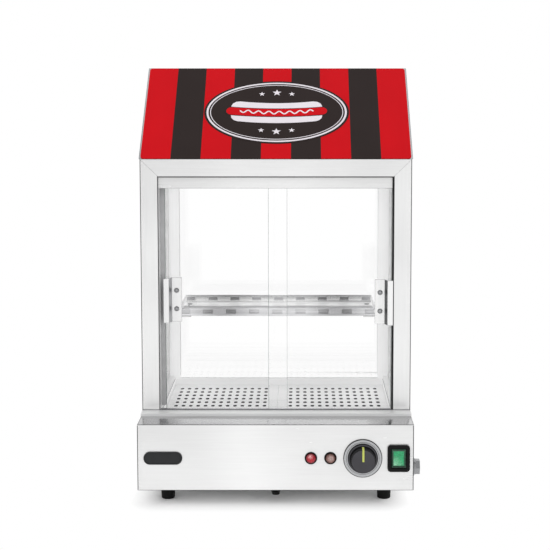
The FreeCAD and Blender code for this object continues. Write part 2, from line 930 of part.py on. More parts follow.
def mitre_wedge(y0, y1):
    """The half of the left top corner that belongs to the rail."""
    return prism(
        [
            (-half_width, y0 - overrun, frame_top_z),
            (-inner_x, y0 - overrun, rail_bottom_z),
            (-inner_x, y0 - overrun, frame_top_z + overrun),
            (-half_width, y0 - overrun, frame_top_z + overrun),
        ],
        Y_AXIS * (y1 - y0 + 2 * overrun),
    )


def post(y0, y1):
    tube = box_tube(-half_width, -inner_x, y0, y1, sill_top_z, frame_top_z, "z")
    return tube.cut(mitre_wedge(y0, y1))


def top_rail(y0, y1):
    tube = box_tube(-half_width, half_width, y0, y1, rail_bottom_z, frame_top_z, "x")
    corner = prism(
        [
            (-half_width - overrun, y0 - overrun, frame_top_z),
            (-half_width, y0 - overrun, frame_top_z),
            (-inner_x, y0 - overrun, rail_bottom_z),
            (-inner_x, y0 - overrun, rail_bottom_z - overrun),
            (-half_width - overrun, y0 - overrun, rail_bottom_z - overrun),
        ],
        Y_AXIS * (y1 - y0 + 2 * overrun),
    )
    return carved(tube, [corner, mirrored(corner)])


def rear_left_post():
    """A rear post with the folded lip that the rear pane lies against."""
    lip = box(-inner_x, -inner_x + rear_lip_width, rear_post_y, rear_post_y + rear_lip_thickness,
              deck_z, rail_bottom_z)
    return merged([post(rear_post_y, back_y), lip])


def side_top_rail():
    return box_tube(-half_width, -inner_x, front_post_back_y, rear_post_y, rail_bottom_z, frame_top_z, "y")


def ceiling_plate():
    """Closes the top of the cabinet between the rails."""
    return box(-inner_x, inner_x, front_post_back_y, rear_post_y, frame_top_z - ceiling_lip, frame_top_z - ceiling_lip
               + sheet)


def side_gasket():
    x0 = -half_width + (post_width - gasket_thickness) / 2
    ring = box(x0, x0 + gasket_thickness, front_post_back_y, rear_post_y, sill_top_z, rail_bottom_z)
    window = box(x0 - overrun, x0 + gasket_thickness + overrun, front_post_back_y + gasket_width,
                 rear_post_y - gasket_width, sill_top_z + gasket_width, rail_bottom_z - gasket_width)
    return carved(ring, [window, side_glass()])


def side_glass():
    x0 = -half_width + (post_width - glass) / 2
    rim = gasket_width - gasket_grip
    return box(x0, x0 + glass, front_post_back_y + rim, rear_post_y - rim, sill_top_z + rim, rail_bottom_z - rim)


def rear_glass_channel():
    """A channel level with the deck that the rear pane stands in."""
    front = box(-well_x, well_x, rear_post_y, rear_post_y + rear_lip_thickness, deck_z - kick_height, deck_z)
    back = box(-well_x, well_x, channel_back_y - rear_lip_thickness, channel_back_y, deck_z - kick_height, deck_z)
    floor = box(-well_x, well_x, rear_post_y, channel_back_y, deck_z - kick_height,
                deck_z - kick_height + rear_lip_thickness)
    return merged([front, back, floor])


def rear_glass():
    y0 = rear_post_y + rear_lip_thickness
    low = deck_z - kick_height + rear_lip_thickness
    lower = box(-well_x + gap, well_x - gap, y0, y0 + glass, low, deck_z)
    upper = box(-inner_x, inner_x, y0, y0 + glass, sill_top_z, rail_bottom_z)
    middle = box(-well_x + gap, well_x - gap, y0, y0 + glass, deck_z, sill_top_z)
    return merged([lower, middle, upper])


def rear_glass_beads():
    y0 = rear_post_y + rear_lip_thickness + glass
    left = box(-inner_x, -inner_x + rear_lip_width, y0, y0 + bead_depth, sill_top_z, rail_bottom_z)
    return [left, mirrored(left)]


def track_lips(z0, z1):
    """The three upright walls of a door track, as pairs of their front and back faces."""
    lips = []
    starts = (
        front_y + upper_track_setback,
        track_middle_y - track_lip / 2,
        track_back_y - track_lip,
    )
    for start in starts:
        lips.append(box(-inner_x, inner_x, start, start + track_lip, z0, z1))
    return lips


def upper_door_track():
    roof = box(-inner_x, inner_x, front_y + upper_track_setback, track_back_y, rail_bottom_z - track_lip,
               rail_bottom_z)
    return merged([roof] + track_lips(rail_bottom_z - fascia_height, rail_bottom_z))


def lower_door_track():
    """Two grooves between low walls, inside the front of the well."""
    z0 = lower_track_z
    y0 = well_y
    y1 = track_back_y
    slab = box(-well_x, well_x, y0, y1, z0, z0 + lower_track_height)
    front_groove = box(-well_x - overrun, well_x + overrun, y0 + track_lip, track_middle_y - track_lip / 2,
                       z0 + track_lip, deck_z)
    rear_groove = box(-well_x - overrun, well_x + overrun, track_middle_y + track_lip / 2, y1 - track_lip,
                      z0 + track_lip, deck_z)
    return carved(slab, [front_groove, rear_groove])


def door_stops():
    """Rubber blocks in the lower track that end each door's travel."""
    z0 = lower_track_z + track_lip
    z1 = lower_track_z + lower_track_height
    rear = box(left_door_x + door_width + door_travel + gap, well_x, left_door_y, left_door_y + glass, z0, z1)
    front = box(-well_x, right_door_x - door_travel - gap, right_door_y, right_door_y + glass, z0, z1)
    return [rear, front]


def jamb_strip(x0, x1, door_y):
    """The dark strip on a front post that a closed door meets."""
    middle = door_y + glass / 2
    return box(x0, x1, middle - strip_depth / 2, middle + strip_depth / 2,
               sill_top_z, rail_bottom_z - fascia_height)


def door_glass(x0, y0, plate_x0):
    pane = box(x0, x0 + door_width, y0, y0 + glass, door_bottom_z, door_top_z)
    holes = [
        rod(screw_radius + gap, Vec(plate_x0 + handle_plate / 2, y0 - overrun, z), Y_AXIS, 3 * overrun)
        for z in screw_heights()
    ]
    for glide_x in glide_places(x0):
        holes.append(box(glide_x, glide_x + glide_length, y0 - overrun, y0 + 2 * overrun, door_bottom_z - overrun,
                         door_bottom_z + glide_height))
    return carved(pane, holes)


def glide_places(x0):
    inset = door_width * glide_share
    return (x0 + inset, x0 + door_width - inset - glide_length)


def door_glides(x0, y0):
    """Two nylon pads let into the bottom edge of a door."""
    return [
        box(x, x + glide_length, y0, y0 + glass, door_bottom_z - gap, door_bottom_z + glide_height)
        for x in glide_places(x0)
    ]


def screw_heights():
    return (handle_centre_height - screw_spacing / 2, handle_centre_height + screw_spacing / 2)


def handle_profile(plate_x0, plate_x1, outward, door_y):
    """A folded strip: the plate on the glass, a slanted wall and a lip that stands forward."""
    edge = plate_x0 if outward < 0 else plate_x1
    far = plate_x1 if outward < 0 else plate_x0
    knee = edge + outward * handle_slope
    tip = knee + outward * handle_lip
    y0 = door_y
    t = handle_sheet
    s = handle_step
    z = handle_centre_height - handle_height / 2
    return [
        (far, y0, z),
        (edge, y0, z),
        (knee, y0 - s, z),
        (tip, y0 - s, z),
        (tip, y0 - s - t, z),
        (knee - outward * t / 2, y0 - s - t, z),
        (edge - outward * t / 2, y0 - t, z),
        (far, y0 - t, z),
    ]


def door_handle(plate_x0, outward, door_y):
    body = prism(handle_profile(plate_x0, plate_x0 + handle_plate, outward, door_y), Z_AXIS * handle_height)
    holes = [
        rod(screw_radius + gap, Vec(plate_x0 + handle_plate / 2, door_y - 2 * overrun, z), Y_AXIS, 3 * overrun)
        for z in screw_heights()
    ]
    return carved(body, holes)


def handle_screws(plate_x0, door_y):
    """Pan-head screws through the handle and the glass."""
    screws = []
    for z in screw_heights():
        place = Vec(plate_x0 + handle_plate / 2, door_y - handle_sheet, z)
        head = Part.makeCone(screw_head_radius - screw_head_height / 2, screw_head_radius, screw_head_height,
                             place - Y_AXIS * screw_head_height, Y_AXIS)
        shank = rod(screw_radius, place, Y_AXIS, handle_sheet + glass + nut_height)
        socket = hexagon(screw_radius - gap, place - Y_AXIS * (screw_head_height + overrun), Y_AXIS,
                         overrun + screw_head_height / 2)
        screws.append(carved(merged([head, shank]), [socket]))
    return screws


def handle_nuts(plate_x0, door_y):
    nuts = []
    for z in screw_heights():
        place = Vec(plate_x0 + handle_plate / 2, door_y + glass, z)
        nut = hexagon(nut_radius, place, Y_AXIS, nut_height)
        nuts.append(nut.cut(rod(screw_radius, place - Y_AXIS * overrun, Y_AXIS, nut_height + 2 * overrun)))
    return nuts


def perforated_plate():
    """The left one of the two plates over the water, with slots in rows beside a plain margin."""
    y0 = plate_front_y
    plate = box(-well_x + gap, -gap, y0, plate_back_y, plate_bottom_z, plate_top_z)
    first_x = -column_pitch * (plate_columns + column_margin_share)
    slots = []
    for column in range(plate_columns):
        x = first_x + column_pitch * column
        for row in range(plate_rows):
            y = y0 + plate_front_margin + row_pitch * row
            slots.append(slot_cutter(x, y))
    return plate.cut(Part.makeCompound(slots))


def slot_cutter(x, y):
    radius = slot_width / 2
    straight = slot_length / 2 - radius
    z = plate_bottom_z - overrun
    corners = [Vec(x - radius, y - straight, z), Vec(x - radius, y + straight, z),
               Vec(x + radius, y + straight, z), Vec(x + radius, y - straight, z)]
    edges = [
        Part.LineSegment(corners[0], corners[1]).toShape(),
        Part.Arc(corners[1], Vec(x, y + straight + radius, z), corners[2]).toShape(),
        Part.LineSegment(corners[2], corners[3]).toShape(),
        Part.Arc(corners[3], Vec(x, y - straight - radius, z), corners[0]).toShape(),
    ]
    return Part.Face(Part.Wire(edges)).extrude(Z_AXIS * (plate_thickness + 2 * overrun))


def side_ledge():
    """An angle on the pan's left wall that carries the plate's outer edge."""
    y0 = plate_front_y
    y1 = rear_post_y - sheet
    shelf = box(-well_x, -well_x + ledge_width, y0, y1, plate_bottom_z - ledge_thickness, plate_bottom_z)
    leg = box(-well_x, -well_x + ledge_thickness, y0, y1, plate_bottom_z - ledge_leg, plate_bottom_z)
    return merged([shelf, leg])


def centre_bar():
    """A tee bar on the pan floor under the edge where the two plates meet."""
    y0 = plate_front_y
    y1 = rear_post_y - sheet
    flange = box(-ledge_width, ledge_width, y0, y1, plate_bottom_z - ledge_thickness, plate_bottom_z)
    web = box(-ledge_thickness / 2, ledge_thickness / 2, y0, y1, plate_bottom_z - ledge_leg, plate_bottom_z)
    posts = []
    for y in (y0, y1 - ledge_leg):
        posts.append(box(-ledge_thickness / 2, ledge_thickness / 2, y, y + ledge_leg, pan_floor_z,
                         plate_bottom_z))
    bar = merged([flange, web] + posts)
    element_front = well_y + element_front_inset
    clear = rod(element_radius + gap, Vec(-overrun, element_front, element_height), X_AXIS, 2 * overrun)
    return bar.cut(clear)


def bun_shelf():
    """A shallow tray with hemmed rims; the front skin of each long rim is pierced with slots."""
    y0 = shelf_y
    y1 = shelf_back_y
    z0 = shelf_floor_height
    z1 = z0 + shelf_rim
    tray = box(-shelf_half_width, shelf_half_width, y0, y1, z0, z1)
    hollow = box(-shelf_half_width + sheet, shelf_half_width - sheet, y0 + rim_thickness, y1 - rim_thickness,
                 z0 + sheet, z1 + overrun)
    pockets = []
    for rim_y, start in ((y0, y0 - overrun), (y1 - rim_thickness, y1 - rim_thickness - gap)):
        for step in range(rim_slot_count):
            x = rim_slot_pitch * (step - (rim_slot_count - 1) / 2)
            pockets.append(box(x - rim_slot_width / 2, x + rim_slot_width / 2, start, rim_y + rim_pocket_depth,
                               z1 - rim_slot_drop - rim_slot_height, z1 - rim_slot_drop))
    return carved(tray, [hollow, Part.makeCompound(pockets)])


def shelf_support():
    """A strip between the left posts, with a lug at each end and a ledge under the shelf."""
    z0 = shelf_floor_height - support_drop
    z1 = shelf_floor_height
    y0 = front_post_back_y
    y1 = rear_post_y
    strip = box(-inner_x, -inner_x + support_thickness, y0, y1, z0, z1)
    ledge = box(-inner_x, -shelf_half_width + support_foot, shelf_y, shelf_back_y, z1 - support_thickness, z1)
    lugs = []
    for y in (y0, y1 - support_thickness):
        lugs.append(box(-inner_x - support_lug, -inner_x + support_thickness, y, y + support_thickness, z0, z1))
    return merged([strip, ledge] + lugs)


def shelf_rivets():
    """Two rivets through each end of the shelf into its supports."""
    rivets = []
    reach = shelf_half_width - support_foot / 2
    for x in (-reach, reach):
        for share in rivet_shares:
            y = shelf_y + (shelf_back_y - shelf_y) * share
            place = Vec(x, y, shelf_floor_height - support_thickness - screw_head_height / 2)
            body = rod(screw_radius, place, Z_AXIS, support_thickness + sheet + screw_head_height)
            head = rod(screw_head_radius, Vec(x, y, shelf_floor_height + sheet), Z_AXIS, screw_head_height / 2)
            tail = rod(screw_head_radius, place, Z_AXIS, screw_head_height / 2)
            rivets.append(merged([body, head, tail]))
    return rivets


def slope_axes(front):
    """Up-slope direction and outward normal of one roof slope."""
    eave_y = gable_y if front else back_y
    up = Vec(0, ridge_y - eave_y, roof_height)
    length = up.Length
    up.normalize()
    normal = X_AXIS.cross(up) if front else up.cross(X_AXIS)
    if normal.z < 0:
        normal = normal * -1
    return eave_y, up, normal, length


def slope_plate(front, half_w, low, high, depth, thickness):
    """A plate on a roof slope: low and high run up the slope, depth is how far its face lies inside it."""
    eave_y, up, normal, length = slope_axes(front)
    base = Vec(0, eave_y, frame_top_z)
    top_face = base - normal * depth
    corners = [
        top_face + up * low - X_AXIS * half_w,
        top_face + up * low + X_AXIS * half_w,
        top_face + up * high + X_AXIS * half_w,
        top_face + up * high - X_AXIS * half_w,
    ]
    return Part.Face(Part.makePolygon(corners + corners[:1])).extrude(normal * -thickness)


def roof_front_panel():
    """The front slope, met by the rear slope at the ridge."""
    length = slope_axes(True)[3]
    panel = slope_plate(True, roof_half_width, 0, length, emblem_depth, roof_sheet)
    front_side = box(-cabinet_width, cabinet_width, front_y, ridge_y, frame_top_z, ridge_z)
    return panel.common(front_side)


def roof_rear_panel():
    length = slope_axes(False)[3]
    panel = slope_plate(False, roof_half_width, 0, length, emblem_depth, roof_sheet)
    rear_side = box(-cabinet_width, cabinet_width, ridge_y, back_y, frame_top_z, ridge_z)
    return panel.common(rear_side)


def stripes(front, parity):
    """Every other stripe of one slope's printed skin."""
    length = slope_axes(front)[3]
    side = box(-cabinet_width, cabinet_width, front_y, ridge_y, frame_top_z, ridge_z) if front else box(
        -cabinet_width, cabinet_width, ridge_y, back_y, frame_top_z, ridge_z)
    width = 2 * (roof_half_width - sign_margin) / stripe_count
    skin = []
    for index in range(parity, stripe_count, 2):
        strip = slope_plate(front, width / 2, sign_margin, length - sign_margin, emblem_thickness, sign_thickness)
        strip.translate(X_AXIS * (width * (index - (stripe_count - 1) / 2)))
        skin.append(strip.common(side))
    return skin


def emblem(front):
    """An oval plaque on the stripes."""
    eave_y, up, normal, length = slope_axes(front)
    centre = Vec(0, eave_y, frame_top_z) + up * (length / 2)
    half_w, half_h = emblem_half
    oval = Part.Ellipse(centre + X_AXIS * half_w, centre + up * half_h, centre)
    return Part.Face(Part.Wire(oval.toShape())).extrude(normal * -emblem_thickness)


def left_gable():
    """The triangular end of the roof, under both slopes, with a flange on the side rail."""
    x0 = -half_width + gable_inset
    depth = emblem_depth + roof_sheet + gap
    front_run = ridge_y - gable_y
    rear_run = back_y - ridge_y
    front_inset = depth * math.hypot(front_run, roof_height) / roof_height
    rear_inset = depth * math.hypot(rear_run, roof_height) / roof_height
    drop = max(front_inset / front_run, rear_inset / rear_run) * roof_height
    corners = [
        (x0, gable_y + front_inset, frame_top_z),
        (x0, back_y - rear_inset, frame_top_z),
        (x0, ridge_y, ridge_z - drop),
    ]
    flange = box(x0, x0 + gable_flange, front_post_back_y, rear_post_y, frame_top_z, frame_top_z + roof_sheet)
    return merged([prism(corners, X_AXIS * roof_sheet), flange])


def roof_screws():
    screws = []
    for side in (-1, 1):
        for y in (front_post_back_y + roof_screw_inset, rear_post_y - roof_screw_inset):
            place = Vec(side * (half_width - gable_inset - gable_flange / 2), y, frame_top_z + roof_sheet)
            head = rod(screw_head_radius, place, Z_AXIS, screw_head_height)
            shank = rod(screw_radius, place - Z_AXIS * (roof_sheet + overrun), Z_AXIS, roof_sheet + overrun)
            screws.append(merged([head, shank]))
    return screws


block, block_screws = terminal_block_parts()
roof_fasteners = roof_screws()
shelf_fasteners = shelf_rivets()
left_pane = side_glass()
left_rail = carved(side_top_rail(), roof_fasteners)
left_end = carved(left_gable(), roof_fasteners)
left_bracket = carved(shelf_support(), shelf_fasteners)

nodes = {
    "base_housing": base_housing(),
    "base_bottom_plate": base_bottom_plate(),
    "base_screws": bottom_screws() + foot_screws(),
    "feet": feet(),
    "water_pan": water_pan(),
    "heating_element": [heating_element()] + element_terminals(),
    "element_mountings": element_bushes() + element_clips(),
    "drain_pipe": drain_pipe(),
    "drain_collar": drain_collar_nut(),
    "drain_cap": drain_cap(),
    "thermostat_body": thermostat_body(),
    "thermostat_shaft": thermostat_shaft(),
    "thermostat_capillary": thermostat_capillary(),
    "dial_ring": dial_ring(),
    "control_knob": control_knob(),
    "knob_pointer": knob_pointer(),
    "lamp_bodies": lamp_bodies(),
    "heating_lamp_lens": lamp_lens(lamp_xs[0]),
    "power_lamp_lens": lamp_lens(lamp_xs[1]),
    "switch_bezel": switch_bezel(),
    "switch_body": switch_body(),
    "switch_rocker": switch_rocker(),
    "badge_plate": badge_plate(),
    "overheat_cutout": [overheat_cutout(), reset_collar_nut()],
    "reset_button": reset_button(),
    "cable_gland": [cable_gland(), gland_locknut()],
    "mains_terminals": [block, earth_stud()] + block_screws,
    "wiring_loom": wiring_loom(),
    "sill_flange": sill_flange(),
    "front_left_post": post(frame_y, front_post_back_y),
    "front_right_post": mirrored(post(frame_y, front_post_back_y)),
    "rear_left_post": rear_left_post(),
    "rear_right_post": mirrored(rear_left_post()),
    "top_rails": [top_rail(frame_y, front_post_back_y), top_rail(rear_post_y, back_y), left_rail,
                  mirrored(left_rail)],
    "ceiling_plate": ceiling_plate(),
    "cabinet_panes": [left_pane, mirrored(left_pane), rear_glass()],
    "glass_seals": [side_gasket(), mirrored(side_gasket())] + rear_glass_beads(),
    "rear_glass_channel": rear_glass_channel(),
    "door_tracks": [upper_door_track(), lower_door_track()],
    "door_stops": door_stops() + [
        jamb_strip(-inner_x, -inner_x + left_strip_width, left_door_y),
        jamb_strip(inner_x - right_strip_width, inner_x, right_door_y),
    ],
    "left_door_glass": door_glass(left_door_x, left_door_y, left_plate_x),
    "right_door_glass": door_glass(right_door_x, right_door_y, right_plate_x),
    "left_door_glides": door_glides(left_door_x, left_door_y),
    "right_door_glides": door_glides(right_door_x, right_door_y),
    "left_handle": door_handle(left_plate_x, -1, left_door_y),
    "right_handle": door_handle(right_plate_x, 1, right_door_y),
    "left_handle_fixings": handle_screws(left_plate_x, left_door_y) + handle_nuts(left_plate_x, left_door_y),
    "right_handle_fixings": handle_screws(right_plate_x, right_door_y) + handle_nuts(right_plate_x, right_door_y),
    "left_perforated_plate": perforated_plate(),
    "right_perforated_plate": mirrored(perforated_plate()),
    "plate_ledges": [side_ledge(), mirrored(side_ledge()), centre_bar()],
    "bun_shelf": carved(bun_shelf(), shelf_fasteners),
    "shelf_supports": [left_bracket, mirrored(left_bracket)],
    "roof_panels": [roof_front_panel(), roof_rear_panel()],
    "roof_gables": [left_end, mirrored(left_end)],
    "cabinet_fasteners": roof_fasteners + shelf_fasteners,
    "sign_red_stripes": stripes(True, 0) + stripes(False, 0),
    "sign_black_stripes": stripes(True, 1) + stripes(False, 1),
    "sign_emblems": [emblem(True), emblem(False)],
}

os.makedirs("parts", exist_ok=True)
for name, shape in nodes.items():
    whole = Part.makeCompound(shape) if isinstance(shape, list) else shape
    whole.translate(to_origin)
    whole.exportStep("parts/" + name + ".step")
print(len(nodes), "nodes")
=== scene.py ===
import math

import bmesh
import bpy
from mathutils import Matrix, Vector


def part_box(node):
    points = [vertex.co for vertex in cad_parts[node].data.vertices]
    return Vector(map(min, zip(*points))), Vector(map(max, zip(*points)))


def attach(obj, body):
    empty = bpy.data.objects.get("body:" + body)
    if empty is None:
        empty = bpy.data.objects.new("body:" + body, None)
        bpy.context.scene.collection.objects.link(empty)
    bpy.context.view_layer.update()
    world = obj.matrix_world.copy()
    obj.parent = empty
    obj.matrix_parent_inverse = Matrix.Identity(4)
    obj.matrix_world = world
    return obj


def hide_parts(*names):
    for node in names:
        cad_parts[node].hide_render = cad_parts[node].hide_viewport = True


bl_info = {
    "name": "Hot dog steamer",
    "version": (1, 0, 0),
    "blender": (4, 5, 0),
    "location": "View3D > Sidebar > Steamer",
    "description": "Dresses the packed hot dog steamer with finished pieces, materials and a studio",
    "category": "Object",
}

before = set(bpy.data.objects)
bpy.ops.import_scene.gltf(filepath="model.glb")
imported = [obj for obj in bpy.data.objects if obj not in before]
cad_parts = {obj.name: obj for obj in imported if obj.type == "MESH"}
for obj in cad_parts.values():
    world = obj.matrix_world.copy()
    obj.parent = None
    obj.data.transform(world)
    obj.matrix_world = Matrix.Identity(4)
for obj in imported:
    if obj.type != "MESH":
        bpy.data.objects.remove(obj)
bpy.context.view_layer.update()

X = Vector((1, 0, 0))
Y = Vector((0, 1, 0))
Z = Vector((0, 0, 1))
mm = 0.001
panel_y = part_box("base_housing")[0].y


def srgb(text):
    """A hex colour as linear red, green, blue and alpha."""
    channels = [int(text[i : i + 2], 16) / 255 for i in (1, 3, 5)]
    linear = [c / 12.92 if c <= 0.04045 else ((c + 0.055) / 1.055) ** 2.4 for c in channels]
    return (*linear, 1.0)


def middle(node):
    low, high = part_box(node)
    return (low + high) / 2


def centre_at(node, y):
    """The middle of a node from side to side and in height, at this y."""
    centre = middle(node)
    return Vector((centre.x, y, centre.z))


# What a user would change


def colour(name, description, text):
    return bpy.props.FloatVectorProperty(
        name=name, description=description, size=4, subtype="COLOR", min=0, max=1, default=srgb(text)
    )


def length(name, description, metres):
    return bpy.props.FloatProperty(
        name=name, description=description, default=metres, min=0, unit="LENGTH", precision=5
    )


def number(name, description, value):
    return bpy.props.FloatProperty(name=name, description=description, default=value)


def count(name, description, value):
    return bpy.props.IntProperty(name=name, description=description, default=value, min=1)


class SteamerColours(bpy.types.PropertyGroup):
    steel: colour("Stainless steel", "Reflection of the brushed sheets", "#FFFFFF")
    # A darker copy of the sheets' steel, for the deck: painted shade.
    deck_steel: colour("Deck steel", "Reflection of the sheets that lie flat", "#C2C2C3")
    sill_steel: colour("Sill steel", "Reflection of the sill", "#F2F2F2")
    # Folds and cut edges in this dark steel are a painted reflection of dark surroundings; the mitre seams
    # are real joints, painted dark the same way.
    fold_steel: colour("Fold", "Reflection of folds, cut edges and seams", "#4C4D4E")
    # This darker steel is painted shade: on the handles' walls and rims, the screw sockets, the roof sheets'
    # margins, the rear channel's edges and the strips at the sill.
    shade_steel: colour("Steel in painted shade", "Reflection of the handles' slanted walls", "#B4B5B7")
    bright_steel: colour("Bright steel", "Reflection of the ledges in the pan", "#DCDCDC")
    zinc: colour("Zinc plate", "Reflection of screws, nuts and rivets", "#A6A7A9")
    chrome: colour("Chrome", "Reflection of the ring round the knob", "#C6C7C9")
    print_red: colour("Sign red", "Red stripes of the roof sign", "#D2101B")
    print_black: colour("Sign black", "Dark stripes of the roof sign", "#332B2A")
    print_white: colour("Sign white", "Pale lines of the emblem", "#EFE9EF")
    moulded_black: colour("Black mouldings", "Knob, bezels and gland", "#0D0D0E")
    # The same grey makes a painted highlight ring on the knob's skirt.
    knob_grey: colour("Knob face", "Face of the knob", "#4B4A4E")
    pointer: colour("Pointer", "Line on the knob", "#D3DB72")
    red_lens: colour("Red lens", "Lens of the heating lamp", "#A80A20")
    amber_lens: colour("Amber lens", "Lens of the power lamp", "#8E5C50")
    rocker_green: colour("Green rocker", "Rocker of the mains switch", "#074930")
    rocker_window: colour("Rocker window", "Lit window of the rocker", "#22B573")
    # The same black makes the painted shadow strips round the opening.
    rubber: colour("Rubber", "Feet, and the painted shadow strips round the opening", "#121212")
    silicone: colour("Silicone", "Strips that the doors close on", "#C9C9CA")
    badge_grey: colour("Badge", "Field of the blank badge", "#343536")


class SteamerSizes(bpy.types.PropertyGroup):
    tube_round: length("Tube edge", "Radius on the long edges of posts", 0.0011)
    mitre_seam: length("Mitre seam", "Width of the ground seam between a post and a rail", 0.0001)
    sheet_round: length("Sheet edge", "Radius on cut sheet edges", 0.0003)
    glass_round: length("Glass arris", "Bevel on the edges of the panes", 0.0004)
    screw_head: length("Screw head", "Radius of the handle screws' heads", 0.0033)
    screw_rise: length("Screw rise", "Height of the handle screws' heads", 0.0018)
    screw_socket: length("Screw socket", "Half the width across the socket's flats", 0.0015)
    slot_width: length("Slot width", "Width of the slots in the plates", 0.0048)
    slot_length: length("Slot length", "Length of the slots in the plates", 0.0090)
    column_pitch: length("Column pitch", "Spacing of the slots from side to side", 0.01006)
    row_pitch: length("Row pitch", "Spacing of the slots from front to back", 0.02017)
    front_margin: length("Front margin", "From the plate's front edge to the first row", 0.0137)
    column_margin: number("Column margin", "Share of a pitch kept plain at the inner edge", 0.75)
    columns: count("Columns", "Slots in a row", 13)
    rows: count("Rows", "Rows of slots", 7)
    stripes: count("Stripes", "Stripes on a roof slope", 9)
    sign_corner: length("Sign corner", "Corner radius of the printed sheet", 0.0040)
    emblem_half_width: length("Emblem half width", "Half the width of the oval", 0.0960)
    emblem_half_height: length("Emblem half height", "Half the height of the oval", 0.0600)
    eye_distance: length("Camera distance", "From the middle of the object to the camera", 1.8064)
    eye_side: length("Camera side", "How far the camera stands to the right", 0.0282)
    eye_height: length("Camera height", "Height of the camera", 0.5366)
    eye_tilt: number("Tilt", "How far the camera looks down, in degrees", 5.57)
    lens: number("Lens", "Focal length in millimetres", 87.41)
    shift_x: number("Shift X", "Lens shift to the side", -0.0481)
    shift_y: number("Shift Y", "Lens shift up", -0.1186)


def sizes():
    return bpy.context.scene.steamer_sizes


# Nodes of materials


def fill(tree, node, inputs):
    """Links or sets the inputs of a node, by name or index."""
    for key, value in inputs.items():
        if isinstance(value, bpy.types.NodeSocket):
            tree.links.new(value, node.inputs[key])
        else:
            node.inputs[key].default_value = value


def add_node(tree, kind, inputs=None, **settings):
    new = tree.nodes.new(kind)
    for key, value in settings.items():
        setattr(new, key, value)
    fill(tree, new, inputs or {})
    return new


def calculated(tree, operation, *values):
    """The number that a Math node gives."""
    return add_node(tree, "ShaderNodeMath", dict(enumerate(values)), operation=operation).outputs["Value"]


def measured(tree, operation, *values):
    """The vector that a Vector Math node gives, or the number where it gives a length."""
    node = add_node(tree, "ShaderNodeVectorMath", dict(enumerate(values)), operation=operation)
    return node.outputs["Value" if operation in ("LENGTH", "DISTANCE") else "Vector"]


def ranged(tree, source, low, high, from_low=0.3, from_high=0.7):
    limits = {"From Min": from_low, "From Max": from_high, "To Min": low, "To Max": high}
    return add_node(tree, "ShaderNodeMapRange", {"Value": source, **limits}).outputs["Result"]


def mixed(tree, factor, first, second):
    """The first colour, or the second where the factor is one."""
    colours = {"Factor": factor, "A": first, "B": second}
    return add_node(tree, "ShaderNodeMix", colours, data_type="RGBA").outputs["Result"]


def either(tree, factor, first, second):
    """The first shader, or the second where the factor is one."""
    return add_node(tree, "ShaderNodeMixShader", {0: factor, 1: first, 2: second}).outputs["Shader"]


def tinted(tree, factor, base, share):
    """The base colour, darkened towards share of itself where the factor is high."""
    return mixed(tree, factor, base, (*(c * share for c in base[:3]), 1.0))


def clouded(tree, noise, base, share):
    """The base colour, darkened where the noise is high."""
    return tinted(tree, ranged(tree, noise, 0.0, 1.0), base, share)


def bumped(tree, height, distance, strength):
    relief = {"Height": height, "Distance": distance, "Strength": strength}
    return add_node(tree, "ShaderNodeBump", relief).outputs["Normal"]


def object_place(tree):
    return add_node(tree, "ShaderNodeTexCoord").outputs["Object"]


def axes(tree, vector):
    return add_node(tree, "ShaderNodeSeparateXYZ", {"Vector": vector}).outputs


def light_path(tree):
    return add_node(tree, "ShaderNodeLightPath").outputs


def object_noise(tree, spacing, detail=2.0):
    """Noise on Object coordinates whose grains are about spacing (x, y, z) metres across."""
    spread = {"Vector": object_place(tree), "Scale": tuple(1 / s for s in spacing)}
    place_in = add_node(tree, "ShaderNodeMapping", spread).outputs["Vector"]
    noise = {"Vector": place_in, "Scale": 1.0, "Detail": detail}
    return add_node(tree, "ShaderNodeTexNoise", noise).outputs["Fac"]


def new_material(name):
    """An empty material with its Principled shader joined to the output."""
    material = bpy.data.materials.new(name)
    material.use_nodes = True
    tree = material.node_tree
    tree.nodes.clear()
    shader = add_node(tree, "ShaderNodeBsdfPrincipled")
    add_node(tree, "ShaderNodeOutputMaterial", {"Surface": shader.outputs["BSDF"]})
    return material, tree, shader


def show_instead(tree, factor, other):
    """Where the factor is one, another shader goes to the output."""
    output = next(n for n in tree.nodes if n.bl_idname == "ShaderNodeOutputMaterial").inputs["Surface"]
    tree.links.new(either(tree, factor, output.links[0].from_socket, other), output)


# Materials: each function gives the inputs of the Principled shader


